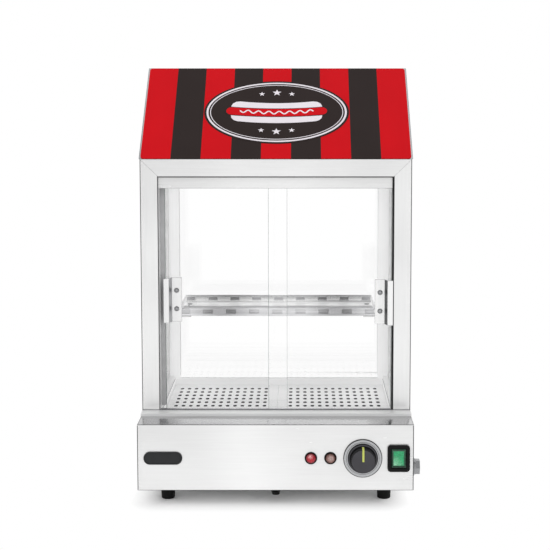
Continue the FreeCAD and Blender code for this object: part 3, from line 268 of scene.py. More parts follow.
def brushed_stainless(
    tree, base, along, low=0.17, high=0.23, share=0.87, metal=0.62, fade=None, lift=0.0, relief=0.12
):
    """Grade 304 sheet with a fine brushed face: near white under soft light, with a faint grain. Its copies
    carry painted shade in darker colours, and painted light in a fade and a glow.
    """
    # The real grain is 0.1 mm apart. It is drawn 1.2 mm apart so that it just shows.
    lines = object_noise(tree, [0.060 if axis == along else 0.0012 for axis in "XYZ"], detail=3.0)
    cloud = object_noise(tree, [0.140] * 3, detail=1.0)
    broad = ranged(tree, cloud, 0.0, 1.0, 0.35, 0.65)
    shade = calculated(tree, "MULTIPLY_ADD", broad, 0.7, ranged(tree, lines, 0.0, 0.3))
    face_colour = tinted(tree, shade, base, share)
    # The lift is an emission that makes the sheet glow though it is no lamp: painted light.
    glow = lift
    if fade:
        # Further along this axis the colour turns to another and the lift glows: painted reflection and
        # painted light, for what the sheet mirrors there. The fade holds axis, from, to and colour.
        axis, start, end, painted_colour = fade
        painted_fade = ranged(tree, axes(tree, object_place(tree))[axis], 0.0, 1.0, start, end)
        face_colour = mixed(tree, painted_fade, face_colour, srgb(painted_colour))
        glow = ranged(tree, painted_fade, 0.0, lift, 0.0, 1.0)
    # The brushed face scatters about a third of the light widely, as its scratches do.
    return {
        "Base Color": face_colour,
        "Metallic": metal,
        "Roughness": calculated(tree, "ADD", ranged(tree, lines, low, high), ranged(tree, cloud, 0.0, 0.05)),
        "Normal": bumped(tree, lines, 0.00002, relief),
        "Specular IOR Level": 0.0,
        "Emission Color": (1, 1, 1, 1),
        "Emission Strength": glow,
    }


def mill_stainless(tree, base):
    """Cold rolled 2B sheet, pressed or folded: a smooth, slightly cloudy mirror."""
    cloud = object_noise(tree, (0.035, 0.035, 0.012), detail=3.0)
    return {
        "Base Color": clouded(tree, cloud, base, 0.92),
        "Metallic": 1.0,
        "Roughness": ranged(tree, cloud, 0.13, 0.24),
        "Normal": bumped(tree, cloud, 0.0002, 0.15),
    }


def rolled_shelf(tree, base, share):
    """Thin rolled sheet: soft wide patches with fine lines along it, and two bands of painted reflection of
    the cabinet's corners.
    """
    # The lines are a few millimetres apart. Two bands of painted reflection, of the cabinet's dark corners,
    # lie 76 mm out on each side.
    band_x, band_core, band_end = 0.076, 0.006, 0.044
    patches = object_noise(tree, (0.055, 0.40, 0.012))
    lines = object_noise(tree, (0.20, 0.0022, 0.0022))
    beside = calculated(tree, "ABSOLUTE", axes(tree, object_place(tree))["X"])
    gap = calculated(tree, "ABSOLUTE", calculated(tree, "SUBTRACT", beside, band_x))
    corner = ranged(tree, gap, 1.6, 0.05, band_core, band_end)
    broad = calculated(tree, "MULTIPLY_ADD", ranged(tree, patches, 0.0, 1.0, 0.38, 0.64), 0.25, corner)
    shade = calculated(tree, "MULTIPLY_ADD", broad, 0.55, ranged(tree, lines, 0.0, 0.28, 0.35, 0.65))
    return {
        "Base Color": tinted(tree, shade, base, share),
        "Metallic": 1.0,
        "Roughness": ranged(tree, lines, 0.16, 0.26),
        "Normal": bumped(tree, patches, 0.0004, 0.15),
    }


def zinc_plate(tree, base):
    """Zinc plated steel, tumbled: small bright parts with soft edges and a faint bloom."""
    bloom = object_noise(tree, [0.0015] * 3)
    return {
        "Base Color": clouded(tree, bloom, base, 0.80),
        "Metallic": 1.0,
        "Roughness": ranged(tree, bloom, 0.20, 0.34),
    }


def turned_ring(tree, base, centre, groove):
    """Metal turned on a lathe: fine rings round its middle that stretch each highlight."""
    moved = measured(tree, "SUBTRACT", object_place(tree), centre)
    radius = measured(tree, "LENGTH", measured(tree, "MULTIPLY", moved, (1, 0, 1)))
    spread = {"W": radius, "Scale": 1 / groove, "Detail": 2.0}
    rings = add_node(tree, "ShaderNodeTexNoise", spread, noise_dimensions="1D").outputs["Fac"]
    return {
        "Base Color": clouded(tree, rings, base, 0.70),
        "Metallic": 1.0,
        "Roughness": ranged(tree, rings, 0.20, 0.30),
        "Normal": bumped(tree, rings, 0.00005, 0.3),
    }


def wire_metal(tree, base, roughness):
    """Drawn tube or bar, dulled by handling."""
    stain = object_noise(tree, [0.006] * 3, detail=3.0)
    return {
        "Base Color": clouded(tree, stain, base, 0.7),
        "Metallic": 1.0,
        "Roughness": ranged(tree, stain, roughness, roughness + 0.15),
    }


def float_glass(tree, base):
    """Toughened float glass with polished edges: clear, and wiped clean."""
    # Light passes to what stands behind a pane, as it does through real thin glass.
    path = light_path(tree)
    through = calculated(tree, "MAXIMUM", path["Is Shadow Ray"], path["Is Reflection Ray"])
    show_instead(tree, through, add_node(tree, "ShaderNodeBsdfTransparent").outputs["BSDF"])
    wipe = object_noise(tree, (0.120, 0.120, 0.040))
    return {
        "Base Color": base,
        "IOR": 1.50,
        "Transmission Weight": 1.0,
        "Roughness": ranged(tree, wipe, 0.0, 0.012),
    }


def glass_edge(tree, base):
    """The ground and polished edge of a pane, where the glass shows its green-grey body."""
    streak = object_noise(tree, (0.004, 0.004, 0.040))
    return {
        "Base Color": clouded(tree, streak, base, 0.8),
        "Roughness": 0.25,
        "Transmission Weight": 0.45,
        "IOR": 1.5,
    }


def moulded_plastic(tree, base, low, high, pebble=0.0004, depth=0.00002):
    """Injection moulded plastic: an even colour with the mould's fine texture in its gloss."""
    skin = object_noise(tree, [pebble] * 3)
    cloud = object_noise(tree, [0.012] * 3, detail=1.0)
    return {
        "Base Color": clouded(tree, cloud, base, 0.90),
        "Roughness": ranged(tree, skin, low, high),
        "Normal": bumped(tree, skin, depth, 0.4),
        "IOR": 1.49,
        "Specular IOR Level": 0.16,
    }


def black_rubber(tree, base):
    """Moulded rubber: dull black, with a coarser and deeper mould texture than the plastics'."""
    return moulded_plastic(tree, base, 0.55, 0.72, 0.0007, 0.00004)


def lens_plastic(tree, base, glow, centre=None, glint=None, reach=None, rim=None):
    """Clear coloured acrylic: prisms behind its dome, a painted highlight round a glint, and darker towards
    its rim.
    """
    here = object_place(tree)
    prism_width = 0.0014
    pattern = {"Vector": here, "Scale": 1 / prism_width}
    cells = add_node(tree, "ShaderNodeTexVoronoi", pattern, feature="F1").outputs["Distance"]
    face_colour = tinted(tree, ranged(tree, cells, 0.0, 1.0, 0.1, 0.7), base, 0.45)
    # The glint is a painted highlight: a paler colour round a point near the middle.
    if glint:
        pale = (*(0.32 + 0.68 * c for c in base[:3]), 1.0)
        away = measured(tree, "DISTANCE", here, centre + Vector(glint))
        sparks = ranged(tree, object_noise(tree, [0.0013] * 3, detail=1.0), 0.35, 1.0, 0.40, 0.60)
        core = calculated(tree, "MULTIPLY", ranged(tree, away, 1.0, 0.0, 0.0, reach), sparks)
        face_colour = mixed(tree, core, face_colour, pale)
    if rim:
        dark = (*(0.12 * c for c in base[:3]), 1.0)
        edge = ranged(tree, measured(tree, "DISTANCE", here, centre), 0.0, 1.0, 0.55 * rim, rim)
        face_colour = mixed(tree, edge, face_colour, dark)
    return {
        "Base Color": face_colour,
        "Emission Color": face_colour,
        "Emission Strength": glow,
        "Roughness": 0.12,
        "IOR": 1.49,
        "Coat Weight": 0.25,
        "Coat Roughness": 0.04,
        "Normal": bumped(tree, cells, 0.0003, 0.5),
    }


def printed_vinyl(tree, base):
    """Screen printed self-adhesive vinyl: an even ink under a satin film with a slight orange peel."""
    peel = object_noise(tree, [0.0022] * 3)
    cloud = object_noise(tree, [0.050] * 3, detail=1.0)
    return {
        "Base Color": clouded(tree, cloud, base, 0.94),
        "Roughness": ranged(tree, peel, 0.34, 0.44),
        "Normal": bumped(tree, peel, 0.00004, 0.2),
        "IOR": 1.45,
        "Specular IOR Level": 0.04,
    }


def lamp_front(node):
    """The middle of a lamp's lens, on its front face."""
    return centre_at(node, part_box(node)[0].y)


recipes = {}
finishes = {}


def offer(key, surface, name, base, *rest, **options):
    """Notes how a finish is made: its function, name, colour and what else the function takes."""
    recipes[key] = (surface, name, base, rest, options)


def finish(key):
    """Each finish is made once, when it is first asked for."""
    if key not in finishes:
        surface, name, base, rest, options = recipes[key]
        chosen = srgb(base) if base[0] == "#" else tuple(getattr(bpy.context.scene.steamer_colours, base))
        finishes[key], tree, shader = new_material(name)
        fill(tree, shader, surface(tree, chosen, *rest, **options))
    return finishes[key]


# For brushed sheet, what comes after the colour is the axis of the grain, the least and most roughness,
# the darkest share, the metal, the fade (painted reflection and light), the lift (painted glow) and the
# relief.
steel = brushed_stainless
# The fades are painted reflection and painted light: the deck turns white towards the back, the pan pale
# higher up and the tray pale further back.
deck_painted_reflection = ("Y", 0.1, 0.11, "#FFFFFF")
pan_painted_light = ("Z", 0.0900, 0.0935, "#F8F8F8")
tray_painted_light = ("Y", 0.052, 0.066, "#F4F4F4")
offer("steel_x", steel, "brushed steel, level grain", "steel", "X", relief=0.07)
offer("steel_y", steel, "brushed steel, grain to the back", "steel", "Y")
offer("steel_z", steel, "brushed steel, upright grain", "steel", "Z")
# The deck is painted shade, darker than the sheets, with a painted reflection towards the back.
offer("deck", steel, "brushed steel, flat", "deck_steel", "X", 0.12, 0.17, 0.93, 1, deck_painted_reflection, 0, 0.03)
# The posts', rails' and tracks' steel is a shade darker than the sheets': painted shade.
offer("front_post", steel, "brushed steel, post", "#F8F8F8", "Z")
offer("rail", steel, "brushed steel, rail", "#F6F6F6", "X")
# Less metal and a glow brighten the rear posts' inner faces and the shelf's ends: painted light.
offer("post", steel, "brushed steel, inside", "steel", "Z", metal=0.25, lift=0.21)
# The sill, the channel and the plates glow a little: painted light.
offer("sill", steel, "brushed steel, sill", "sill_steel", "X", 0.34, 0.42, 0.90, lift=0.07)
offer("channel", steel, "brushed steel, channel", "sill_steel", "X", 0.34, 0.42, 0.90, lift=0.15)
offer("plate", steel, "pressed steel plate", "sill_steel", "X", 0.30, 0.40, 0.95, 0.5, None, 0.09, 0.03)
# The pan is dark below, painted shade under the slots, and pale and glowing higher up, painted light.
offer("pan", steel, "scaled steel of the pan", "#303031", "X", 0.30, 0.40, 0.9, 0.62, pan_painted_light, 0.14)
# The tray's level face is dark at the front, painted shade, and pale and glowing further back, painted light.
offer("tray", steel, "rolled steel, level face", "#A8A8AA", "X", 0.2, 0.3, 0.8, 0.6, tray_painted_light, 0.2)
# Dark folds and edges: a painted reflection, over real seams.
offer("fold", steel, "folded steel edge", "fold_steel", "X", 0.25, 0.35, 0.8, 1.0)
# Steel in painted shade, for walls, rims and margins.
offer("shade", steel, "folded steel wall", "shade_steel", "Z", 0.2, 0.3, 0.8, 1.0)
# The shelf's copies differ by painted light and shade: painted reflection bands on its face and folds, a rear
# rim in painted light, pockets in painted shade.
offer("shelf", rolled_shelf, "rolled stainless steel", "#E4E4E6", 0.50)
offer("shelf_back", rolled_shelf, "rolled stainless steel, rear rim", "#FFFFFF", 0.62)
offer("shelf_fold", rolled_shelf, "rolled stainless steel, folds", "#E0E0E2", 0.05)
offer("pocket", rolled_shelf, "rolled stainless steel, inner skin", "#D8D8DA", 0.22)
offer("mill", mill_stainless, "mill finish stainless steel", "bright_steel")
offer("zinc", zinc_plate, "zinc plated steel", "zinc")
offer("chrome", turned_ring, "spun and polished chrome", "chrome", middle("dial_ring"), 0.0007)
# After the colour comes the least roughness, and for mouldings the most.
# Dark steel of painted shade: the rims of the screws' heads and the walls of the slots.
offer("socket", wire_metal, "blackened steel", "#3A3A3C", 0.35)
offer("brass", wire_metal, "drawn brass", "#C9A45C", 0.28)
offer("copper", wire_metal, "drawn copper", "#B87350", 0.30)
offer("sheath", wire_metal, "heat tinted nickel alloy", "#8C8684", 0.35)
offer("glass", float_glass, "toughened float glass", "#FFFFFF")
offer("glass_edge", glass_edge, "polished glass edge", "#8E9B97")
offer("rubber", black_rubber, "moulded rubber", "rubber")
offer("silicone", moulded_plastic, "grey silicone", "silicone", 0.45, 0.60)
offer("seal", moulded_plastic, "clear silicone", "#EFEFEF", 0.35, 0.50)
offer("black", moulded_plastic, "black ABS", "moulded_black", 0.18, 0.28)
offer("knob", moulded_plastic, "phenolic resin", "knob_grey", 0.28, 0.40)
offer("pointer", moulded_plastic, "filled enamel", "pointer", 0.30, 0.40)
offer("bakelite", moulded_plastic, "bakelite", "#7A6A55", 0.45, 0.60)
offer("nylon", moulded_plastic, "natural nylon", "#E4E1D6", 0.40, 0.55)
offer("pvc", moulded_plastic, "PVC insulation", "#3A3B3F", 0.40, 0.55)
offer("badge", moulded_plastic, "stove enamel", "badge_grey", 0.30, 0.42)
offer("rocker", lens_plastic, "green polycarbonate", "rocker_green", 0.06)
# These take their glow, middle, glint (from the middle) and the glint's reach; the glint is a painted
# highlight. A lamp's rim comes last.
window_glint, red_glint, amber_glint = (-0.006, -0.004, -0.009), (-0.001, 0, 0.0034), (0.0005, 0, 0.0008)
window = middle("switch_rocker")
red, amber = lamp_front("heating_lamp_lens"), lamp_front("power_lamp_lens")
offer("window", lens_plastic, "lit green polycarbonate", "rocker_window", 0.22, window, window_glint, 0.013)
offer("red_lens", lens_plastic, "red acrylic", "red_lens", 0.75, red, red_glint, 0.0045, 0.0068)
offer("amber_lens", lens_plastic, "amber acrylic", "amber_lens", 0.30, amber, amber_glint, 0.0060, 0.0068)
for tone in ("red", "black", "white"):
    offer("print_" + tone, printed_vinyl, tone + " printed vinyl", "print_" + tone)


# Mesh helpers


def linked(name, data):
    """A new object in the scene."""
    piece = bpy.data.objects.new(name, data)
    bpy.context.scene.collection.objects.link(piece)
    return piece


def mesh_of(name, bm):
    """The mesh that a bmesh holds. The bmesh is used up."""
    mesh = bpy.data.meshes.new(name)
    bm.to_mesh(mesh)
    bm.free()
    return mesh


def new_piece(name, bm, *keys, smooth_angle=30):
    """Turns a bmesh into an object at the origin, smooth but for its sharp edges."""
    mesh = mesh_of(name, bm)
    packed_normals = mesh.attributes.get("custom_normal")
    if packed_normals is not None:
        mesh.attributes.remove(packed_normals)
    for key in keys:
        mesh.materials.append(finish(key))
    mesh.shade_smooth()
    mesh.set_sharp_from_angle(angle=math.radians(smooth_angle))
    piece = linked(name, mesh)
    weights = piece.modifiers.new("weights", "WEIGHTED_NORMAL")
    weights.mode = "FACE_AREA"
    weights.keep_sharp = True
    return settle(piece)


def closed_piece(name, bm, *keys, smooth_angle=30):
    """A new piece whose faces are turned outwards first."""
    bmesh.ops.recalc_face_normals(bm, faces=bm.faces)
    return new_piece(name, bm, *keys, smooth_angle=smooth_angle)


def settle(piece):
    """Works the modifiers into the mesh and removes them."""
    depsgraph = bpy.context.evaluated_depsgraph_get()
    mesh = bpy.data.meshes.new_from_object(piece.evaluated_get(depsgraph))
    piece.modifiers.clear()
    piece.data = mesh
    return piece


def carved(piece, *tools):
    """Cuts closed pieces out of a piece, one after another, and uses them up."""
    for tool in tools:
        cut = piece.modifiers.new(tool.name, "BOOLEAN")
        cut.operation = "DIFFERENCE"
        cut.solver = "EXACT"
        cut.object = tool
    settle(piece)
    for tool in tools:
        bpy.data.objects.remove(tool)
    return piece


def cutter(name, bm):
    """A closed object to cut with."""
    bmesh.ops.recalc_face_normals(bm, faces=bm.faces)
    return linked(name, mesh_of(name, bm))


def block(bm, low, high):
    """A closed box between two corners."""
    low, high = Vector(low), Vector(high)
    verts = bmesh.ops.create_cube(bm, size=1.0)["verts"]
    spread = Matrix.Diagonal((*(high - low), 1.0))
    bmesh.ops.transform(bm, matrix=Matrix.Translation((low + high) / 2) @ spread, verts=verts)


def bridge(bm, low, high, material=0):
    """Faces between two closed rings of corners. One ring may be a single corner."""
    for step in range(max(len(low), len(high))):
        corners = []
        for ring, index in ((low, step), (low, step + 1), (high, step + 1), (high, step)):
            corner = ring[index % len(ring)]
            if corner not in corners:
                corners.append(corner)
        bm.faces.new(corners).material_index = material


def lathe(bm, profile, centre, axis, steps):
    """Revolves (radius, distance along the axis) points round the axis; radius zero closes a pole."""
    side = X if abs(axis.dot(X)) < 0.5 else Y
    other = axis.cross(side)
    rings = []
    for radius, reach in profile:
        ring = []
        for step in range(steps if radius else 1):
            angle = 2 * math.pi * step / steps
            spoke = side * math.cos(angle) + other * math.sin(angle)
            ring.append(bm.verts.new(centre + axis * reach + spoke * radius))
        rings.append(ring)
    for low, high in zip(rings, rings[1:]):
        bridge(bm, low, high)


def turned(name, profile, centre, axis, steps, key):
    """A closed lathe piece."""
    bm = bmesh.new()
    lathe(bm, profile, centre, axis, steps)
    return closed_piece(name, bm, key, smooth_angle=35)


def rod(bm, radius, start, axis, reach, steps=32):
    """A closed round bar from a start point along an axis."""
    lathe(bm, [(0, 0), (radius, 0), (radius, reach), (0, reach)], start, axis, steps)


def rounded(profile, radius, skip=()):
    """Replaces the inner corners of a (radius, reach) profile by curves, but for those to skip."""
    steps = 4
    points = [profile[0]]
    for index in range(1, len(profile) - 1):
        before, corner, after = (Vector(p) for p in profile[index - 1 : index + 2])
        into, out = before - corner, after - corner
        cut = min(radius, into.length * 0.45, out.length * 0.45)
        if index in skip or cut < 0.001 * mm:
            points.append(tuple(corner))
            continue
        first = corner + into.normalized() * cut
        last = corner + out.normalized() * cut
        for step in range(steps + 1):
            t = step / steps
            points.append(tuple(first * (1 - t) ** 2 + corner * 2 * t * (1 - t) + last * t**2))
    points.append(profile[-1])
    return points


def seen_from_front(bm, centre):
    """Each face, with how far out from the centre and how far before it the face lies."""
    for face in bm.faces:
        away = face.calc_center_median() - centre
        yield face, math.hypot(away.x, away.z), -away.y


def prism(bm, outline, depth, material=0):
    """A closed outline of points pushed along a vector."""
    low = [bm.verts.new(p) for p in outline]
    high = [bm.verts.new(p + depth) for p in outline]
    for end in (low[::-1], high):
        bm.faces.new(end).material_index = material
    bridge(bm, low, high, material)


def flat_arc(corner, before, after, radius):
    """Points of an arc that rounds a corner of a flat line."""
    steps = 5
    into = (before - corner).normalized()
    out = (after - corner).normalized()
    half = math.acos(max(-1, min(1, into.dot(out)))) / 2
    cut = radius / math.tan(half)
    centre = corner + (into + out).normalized() * (radius / math.sin(half))
    first = corner + into * cut - centre
    last = corner + out * cut - centre
    start = math.atan2(first.y, first.x)
    turn = math.atan2(last.y, last.x) - start
    turn = (turn + math.pi) % (2 * math.pi) - math.pi
    angles = [start + turn * step / steps for step in range(steps + 1)]
    return [centre + Vector((math.cos(a), math.sin(a))) * radius for a in angles]


def both_sides(line, half):
    """The two lines that run beside a flat line, this far from it."""
    left, right = [], []
    for index, point in enumerate(line):
        run = line[min(index + 1, len(line) - 1)] - line[max(index - 1, 0)]
        normal = Vector((-run.y, run.x)).normalized()
        left.append(point + normal * half)
        right.append(point - normal * half)
    return left, right


def run_of(edge):
    return edge.verts[1].co - edge.verts[0].co


def is_sharp(edge, degrees):
    return edge.is_manifold and edge.calc_face_angle() > math.radians(degrees)


def round_edges(bm, edges, width, segments=2, material=-1, profile=0.5, clamp_overlap=True):
    """Rounds or bevels edges. The new faces take a material where one is given."""
    how = {"segments": segments, "profile": profile, "clamp_overlap": clamp_overlap, "material": material}
    bmesh.ops.bevel(bm, geom=edges, offset=width, affect="EDGES", **how)


def soften(name, node, width, *keys, along=None, segments=2, skip=None, seam=0):
    """A copy of a node whose sharp edges are rounded, or only those that run along an axis."""
    bm = bmesh.new()
    bm.from_mesh(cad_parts[node].data)
    bmesh.ops.remove_doubles(bm, verts=bm.verts, dist=0.001 * mm)
    bmesh.ops.dissolve_limit(bm, angle_limit=math.radians(0.5), verts=bm.verts, edges=bm.edges)
    edges = [e for e in bm.edges if is_sharp(e, 30) and run_of(e).length >= 2.5 * width]
    if along is not None:
        edges = [e for e in edges if abs(run_of(e).normalized().dot(along)) > 0.999]
    if skip is not None:
        edges = [e for e in edges if not skip(e)]
    rounding = 1 if len(keys) > 1 else -1
    round_edges(bm, edges, width, segments, rounding)
    if seam:
        round_edges(bm, [e for e in bm.edges if is_mitre(e)], seam, 1, rounding, profile=0)
    return new_piece(name, bm, *keys)


def is_mitre(edge):
    """True for the slanting edges where a post meets a rail."""
    run = run_of(edge)
    slanting = min(abs(run.x), abs(run.z)) > 0.3 * run.length
    return is_sharp(edge, 60) and slanting and run.length > 4 * mm


def place(piece, body, slot, *nodes):
    """Hangs a piece on the empty of the body that it rides on and hides the CAD nodes that it stands for. Its
    slot is not used.
    """
    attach(piece, body)
    if nodes:
        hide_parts(*nodes)


def dress_copy(body, slot, name, node, width, *keys, **options):
    """Puts a softened copy in the place of a node."""
    place(soften(name, node, width, *keys, **options), body, slot, node)


def dress(node, key):
    """Gives a CAD node its finish and leaves its mesh alone."""
    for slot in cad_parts[node].material_slots:
        slot.material = finish(key)


# Geometry Nodes


def new_tree(name, inputs):
    """A geometry tree with named inputs, what its input node gives and what its output node takes."""
    tree = bpy.data.node_groups.new(name, "GeometryNodeTree")
    tree.interface.new_socket("Geometry", in_out="INPUT", socket_type="NodeSocketGeometry")
    for kind, labels in inputs.items():
        for label in labels:
            tree.interface.new_socket(label, in_out="INPUT", socket_type="NodeSocket" + kind)
    tree.interface.new_socket("Geometry", in_out="OUTPUT", socket_type="NodeSocketGeometry")
    return tree, add_node(tree, "NodeGroupInput").outputs, add_node(tree, "NodeGroupOutput").inputs


def grow(tree, kind, result, inputs, **settings):
    """Adds a geometry node and gives one of its results."""
    return add_node(tree, "GeometryNode" + kind, inputs, **settings).outputs[result]


def joined(tree, *parts):
    join = add_node(tree, "GeometryNodeJoinGeometry")
    for part in parts:
        tree.links.new(part, join.inputs["Geometry"])
    return join.outputs["Geometry"]


def grown(name, tree, host, values):
    """Runs a geometry tree on a host mesh and keeps the result as a plain object."""
    piece = linked(name, host)
    modifier = piece.modifiers.new(name, "NODES")
    modifier.node_group = tree
    for item in tree.interface.items_tree:
        if item.in_out == "INPUT" and item.name in values:
            modifier[item.identifier] = values[item.name]
    return settle(piece)


def slotted_plate_tree():
    """A flat plate whose slots stand in rows and columns."""
    inputs = {
        "Float": ("Width", "Depth", "Thickness", "Slot Width", "Slot Length", "Field Width", "Field Depth"),
        "Int": ("Columns", "Rows"),
        "Vector": ("Field Place", "Plate Place"),
        "Material": ("Finish", "Cut Finish"),
    }
    tree, given, result = new_tree("slotted plate", inputs)
    sides = {"Width": given["Width"], "Height": given["Depth"]}
    outline = grow(tree, "CurvePrimitiveQuadrilateral", "Curve", sides)
    slot_sides = {"Width": given["Slot Width"], "Height": given["Slot Length"]}
    slot = grow(tree, "CurvePrimitiveQuadrilateral", "Curve", slot_sides)
    # Just under half the width, so that the two arcs of an end don't share a point.
    corner = calculated(tree, "MULTIPLY", given["Slot Width"], 0.499)
    slot = grow(tree, "FilletCurve", "Curve", {"Curve": slot, "Radius": corner, "Count": 5}, mode="POLY")
    field = {
        "Size X": given["Field Width"],
        "Size Y": given["Field Depth"],
        "Vertices X": given["Columns"],
        "Vertices Y": given["Rows"],
    }
    grid = grow(tree, "MeshGrid", "Mesh", field)
    spots = grow(tree, "Transform", "Geometry", {"Geometry": grid, "Translation": given["Field Place"]})
    copies = grow(tree, "InstanceOnPoints", "Instances", {"Points": spots, "Instance": slot})
    slots = grow(tree, "RealizeInstances", "Geometry", {"Geometry": copies})
    flat = grow(tree, "FillCurve", "Mesh", {"Curve": joined(tree, outline, slots)})
    sheet = grow(tree, "SetMaterial", "Geometry", {"Geometry": flat, "Material": given["Finish"]})
    rise = {"Mesh": sheet, "Offset Scale": given["Thickness"], "Individual": False}
    raised = add_node(tree, "GeometryNodeExtrudeMesh", rise, mode="FACES").outputs
    walls = {"Geometry": raised["Mesh"], "Selection": raised["Side"], "Material": given["Cut Finish"]}
    top = grow(tree, "SetMaterial", "Geometry", walls)
    under = grow(tree, "FlipFaces", "Mesh", {"Mesh": sheet})
    weld = {"Geometry": joined(tree, top, under), "Distance": 0.001 * mm}
    closed = grow(tree, "MergeByDistance", "Geometry", weld)
    moved = grow(tree, "Transform", "Geometry", {"Geometry": closed, "Translation": given["Plate Place"]})
    whole = grow(tree, "RealizeInstances", "Geometry", {"Geometry": moved})
    tree.links.new(whole, result["Geometry"])
    return tree


def repeated_tree():
    """One small part at each vertex of the host."""
    tree, given, result = new_tree("repeated part", {"Object": ("Part",), "Float": ("Size",)})
    part = grow(tree, "ObjectInfo", "Geometry", {"Object": given["Part"]})
    spots = {"Points": given["Geometry"], "Instance": part, "Scale": given["Size"]}
    copies = grow(tree, "InstanceOnPoints", "Instances", spots)
    whole = grow(tree, "RealizeInstances", "Geometry", {"Geometry": copies})
    tree.links.new(whole, result["Geometry"])
    return tree


def repeat(name, part, places):
    """Copies of a part, in its own finishes, at these places; the part itself is used up."""
    host = bpy.data.meshes.new(name)
    host.from_pydata(places, [], [])
    tree = bpy.data.node_groups.get("repeated part") or repeated_tree()
    piece = grown(name, tree, host, {"Part": part, "Size": 1.0})
    piece.data.shade_smooth()
    piece.data.set_sharp_from_angle(angle=math.radians(35))
    bpy.data.objects.remove(part)
    return piece


# Studio


class STEAMER_OT_stage(bpy.types.Operator):
    """Builds the floor, the lamps, the world and the camera"""

    bl_idname = "steamer.stage"
    bl_label = "Stage"

    def execute(self, context):
        studio_floor()
        studio_world()
        studio_lamps()
        studio_camera()
        return {"FINISHED"}


def seen_directly(tree, path):
    """One for rays from the camera, a reflection or glass."""
    first = calculated(tree, "MAXIMUM", path["Is Camera Ray"], path["Is Glossy Ray"])
    return calculated(tree, "MAXIMUM", first, path["Is Transmission Ray"])


def studio_floor():
    """A pale floor that keeps the object's shadow and fades to white further out."""
    bm = bmesh.new()
    rings = (9.0, 4.0, 1.8, 0.9, 0.4, 0.0)
    lathe(bm, [(radius, 0.0) for radius in rings], Vector((0, 0, -0.2 * mm)), Z, 48)
    floor = linked("floor", mesh_of("floor", bm))
    material, tree, shader = new_material("matt white studio floor")
    fill(tree, shader, {"Base Color": srgb("#F7F7F7"), "Roughness": 0.9, "Specular IOR Level": 0.0})
    here = object_place(tree)
    path = light_path(tree)
    # The shadow is kept on this field under the object and fades out round it.
    field_shift, field_half, fade_width = (0.012, 0.0, 0.0), (0.138, 0.145, 0.0), 0.040
    size = measured(tree, "ABSOLUTE", measured(tree, "ADD", here, field_shift))
    outside = measured(tree, "MAXIMUM", measured(tree, "SUBTRACT", size, field_half), (0, 0, 0))
    fade = ranged(tree, measured(tree, "LENGTH", outside), 0.0, 1.0, 0.0, fade_width)
    amount = calculated(tree, "MULTIPLY", fade, seen_directly(tree, path))
    # The front panel mirrors the floor before it, which is darker further out, above all to the left.
    bright_x, dusk_start, dusk_end, most_dusk = 0.07, 0.095, 0.315, 0.20
    across = axes(tree, here)
    aside = calculated(tree, "ABSOLUTE", calculated(tree, "SUBTRACT", across["X"], bright_x))
    dusk = ranged(tree, aside, 0.0, most_dusk, dusk_start, dusk_end)
    before = ranged(tree, across["Y"], 0.0, 1.0, -0.8, -0.5)
    dimmed = calculated(tree, "MULTIPLY", dusk, before)
    mirrored = calculated(tree, "MULTIPLY", dimmed, path["Is Reflection Ray"])
    glow = {"Color": (1, 1, 1, 1), "Strength": ranged(tree, mirrored, 1.0, 0.0, 0.0, 1.0)}
    white = add_node(tree, "ShaderNodeEmission", glow).outputs["Emission"]
    show_instead(tree, amount, white)
    # From below the floor isn't there, so that the underside can be looked at.
    back = add_node(tree, "ShaderNodeNewGeometry").outputs["Backfacing"]
    below = calculated(tree, "MULTIPLY", back, path["Is Camera Ray"])
    show_instead(tree, below, add_node(tree, "ShaderNodeBsdfTransparent").outputs["BSDF"])
    floor.data.materials.append(material)


def studio_world():
    """Soft light from all sides, and white walls for whatever looks straight at them."""
    world = bpy.data.worlds.new("studio")
    bpy.context.scene.world = world
    world.use_nodes = True
    tree = world.node_tree
    tree.nodes.clear()
    path = light_path(tree)
    shaders = []
    for strength in (0.62, studio_walls(tree, path)):
        light = {"Color": (1, 1, 1, 1), "Strength": strength}
        shaders.append(add_node(tree, "ShaderNodeBackground", light).outputs["Background"])
    surface = either(tree, seen_directly(tree, path), *shaders)
    add_node(tree, "ShaderNodeOutputWorld", {"Surface": surface})


def studio_walls(tree, path):
    """White walls with four narrow dark flags between them, which only reflections show."""
    ray = add_node(tree, "ShaderNodeTexCoord").outputs["Generated"]
    height = axes(tree, ray)["Z"]
    heading = axes(tree, measured(tree, "NORMALIZE", measured(tree, "MULTIPLY", ray, (1, 1, 0))))
    side = calculated(tree, "ABSOLUTE", heading["X"])
    # The flags stand 60 and 120 degrees round from the front, on both sides.
    flag_sine, flag_core, flag_end, flag_shade = 0.866, 0.045, 0.085, 0.90
    gap = calculated(tree, "ABSOLUTE", calculated(tree, "SUBTRACT", side, flag_sine))
    band = ranged(tree, gap, 1.0, 0.0, flag_core, flag_end)
    flags = calculated(tree, "MULTIPLY", band, ranged(tree, height, 1.0, 0.0, 0.55, 0.80))
    flags = calculated(tree, "MULTIPLY", flags, path["Is Reflection Ray"])
    # Behind the camera a bright window stands between slightly darker walls.
    window = ranged(tree, side, 0.0, 0.35, 0.02, 0.16)
    frontal = calculated(tree, "MULTIPLY", window, ranged(tree, heading["Y"], 1.0, 0.0, -0.3, 0.0))
    # The ceiling is darker than the walls, which gives rounded parts their shape.
    ceiling = ranged(tree, height, 0.0, 0.60, 0.50, 0.92)
    dull = calculated(tree, "MAXIMUM", ceiling, frontal)
    dull = calculated(tree, "MULTIPLY", dull, path["Is Reflection Ray"])
    dark = calculated(tree, "MAXIMUM", dull, ranged(tree, flags, 0.0, flag_shade, 0.0, 1.0))
    return ranged(tree, dark, 1.0, 0.0, 0.0, 1.0)


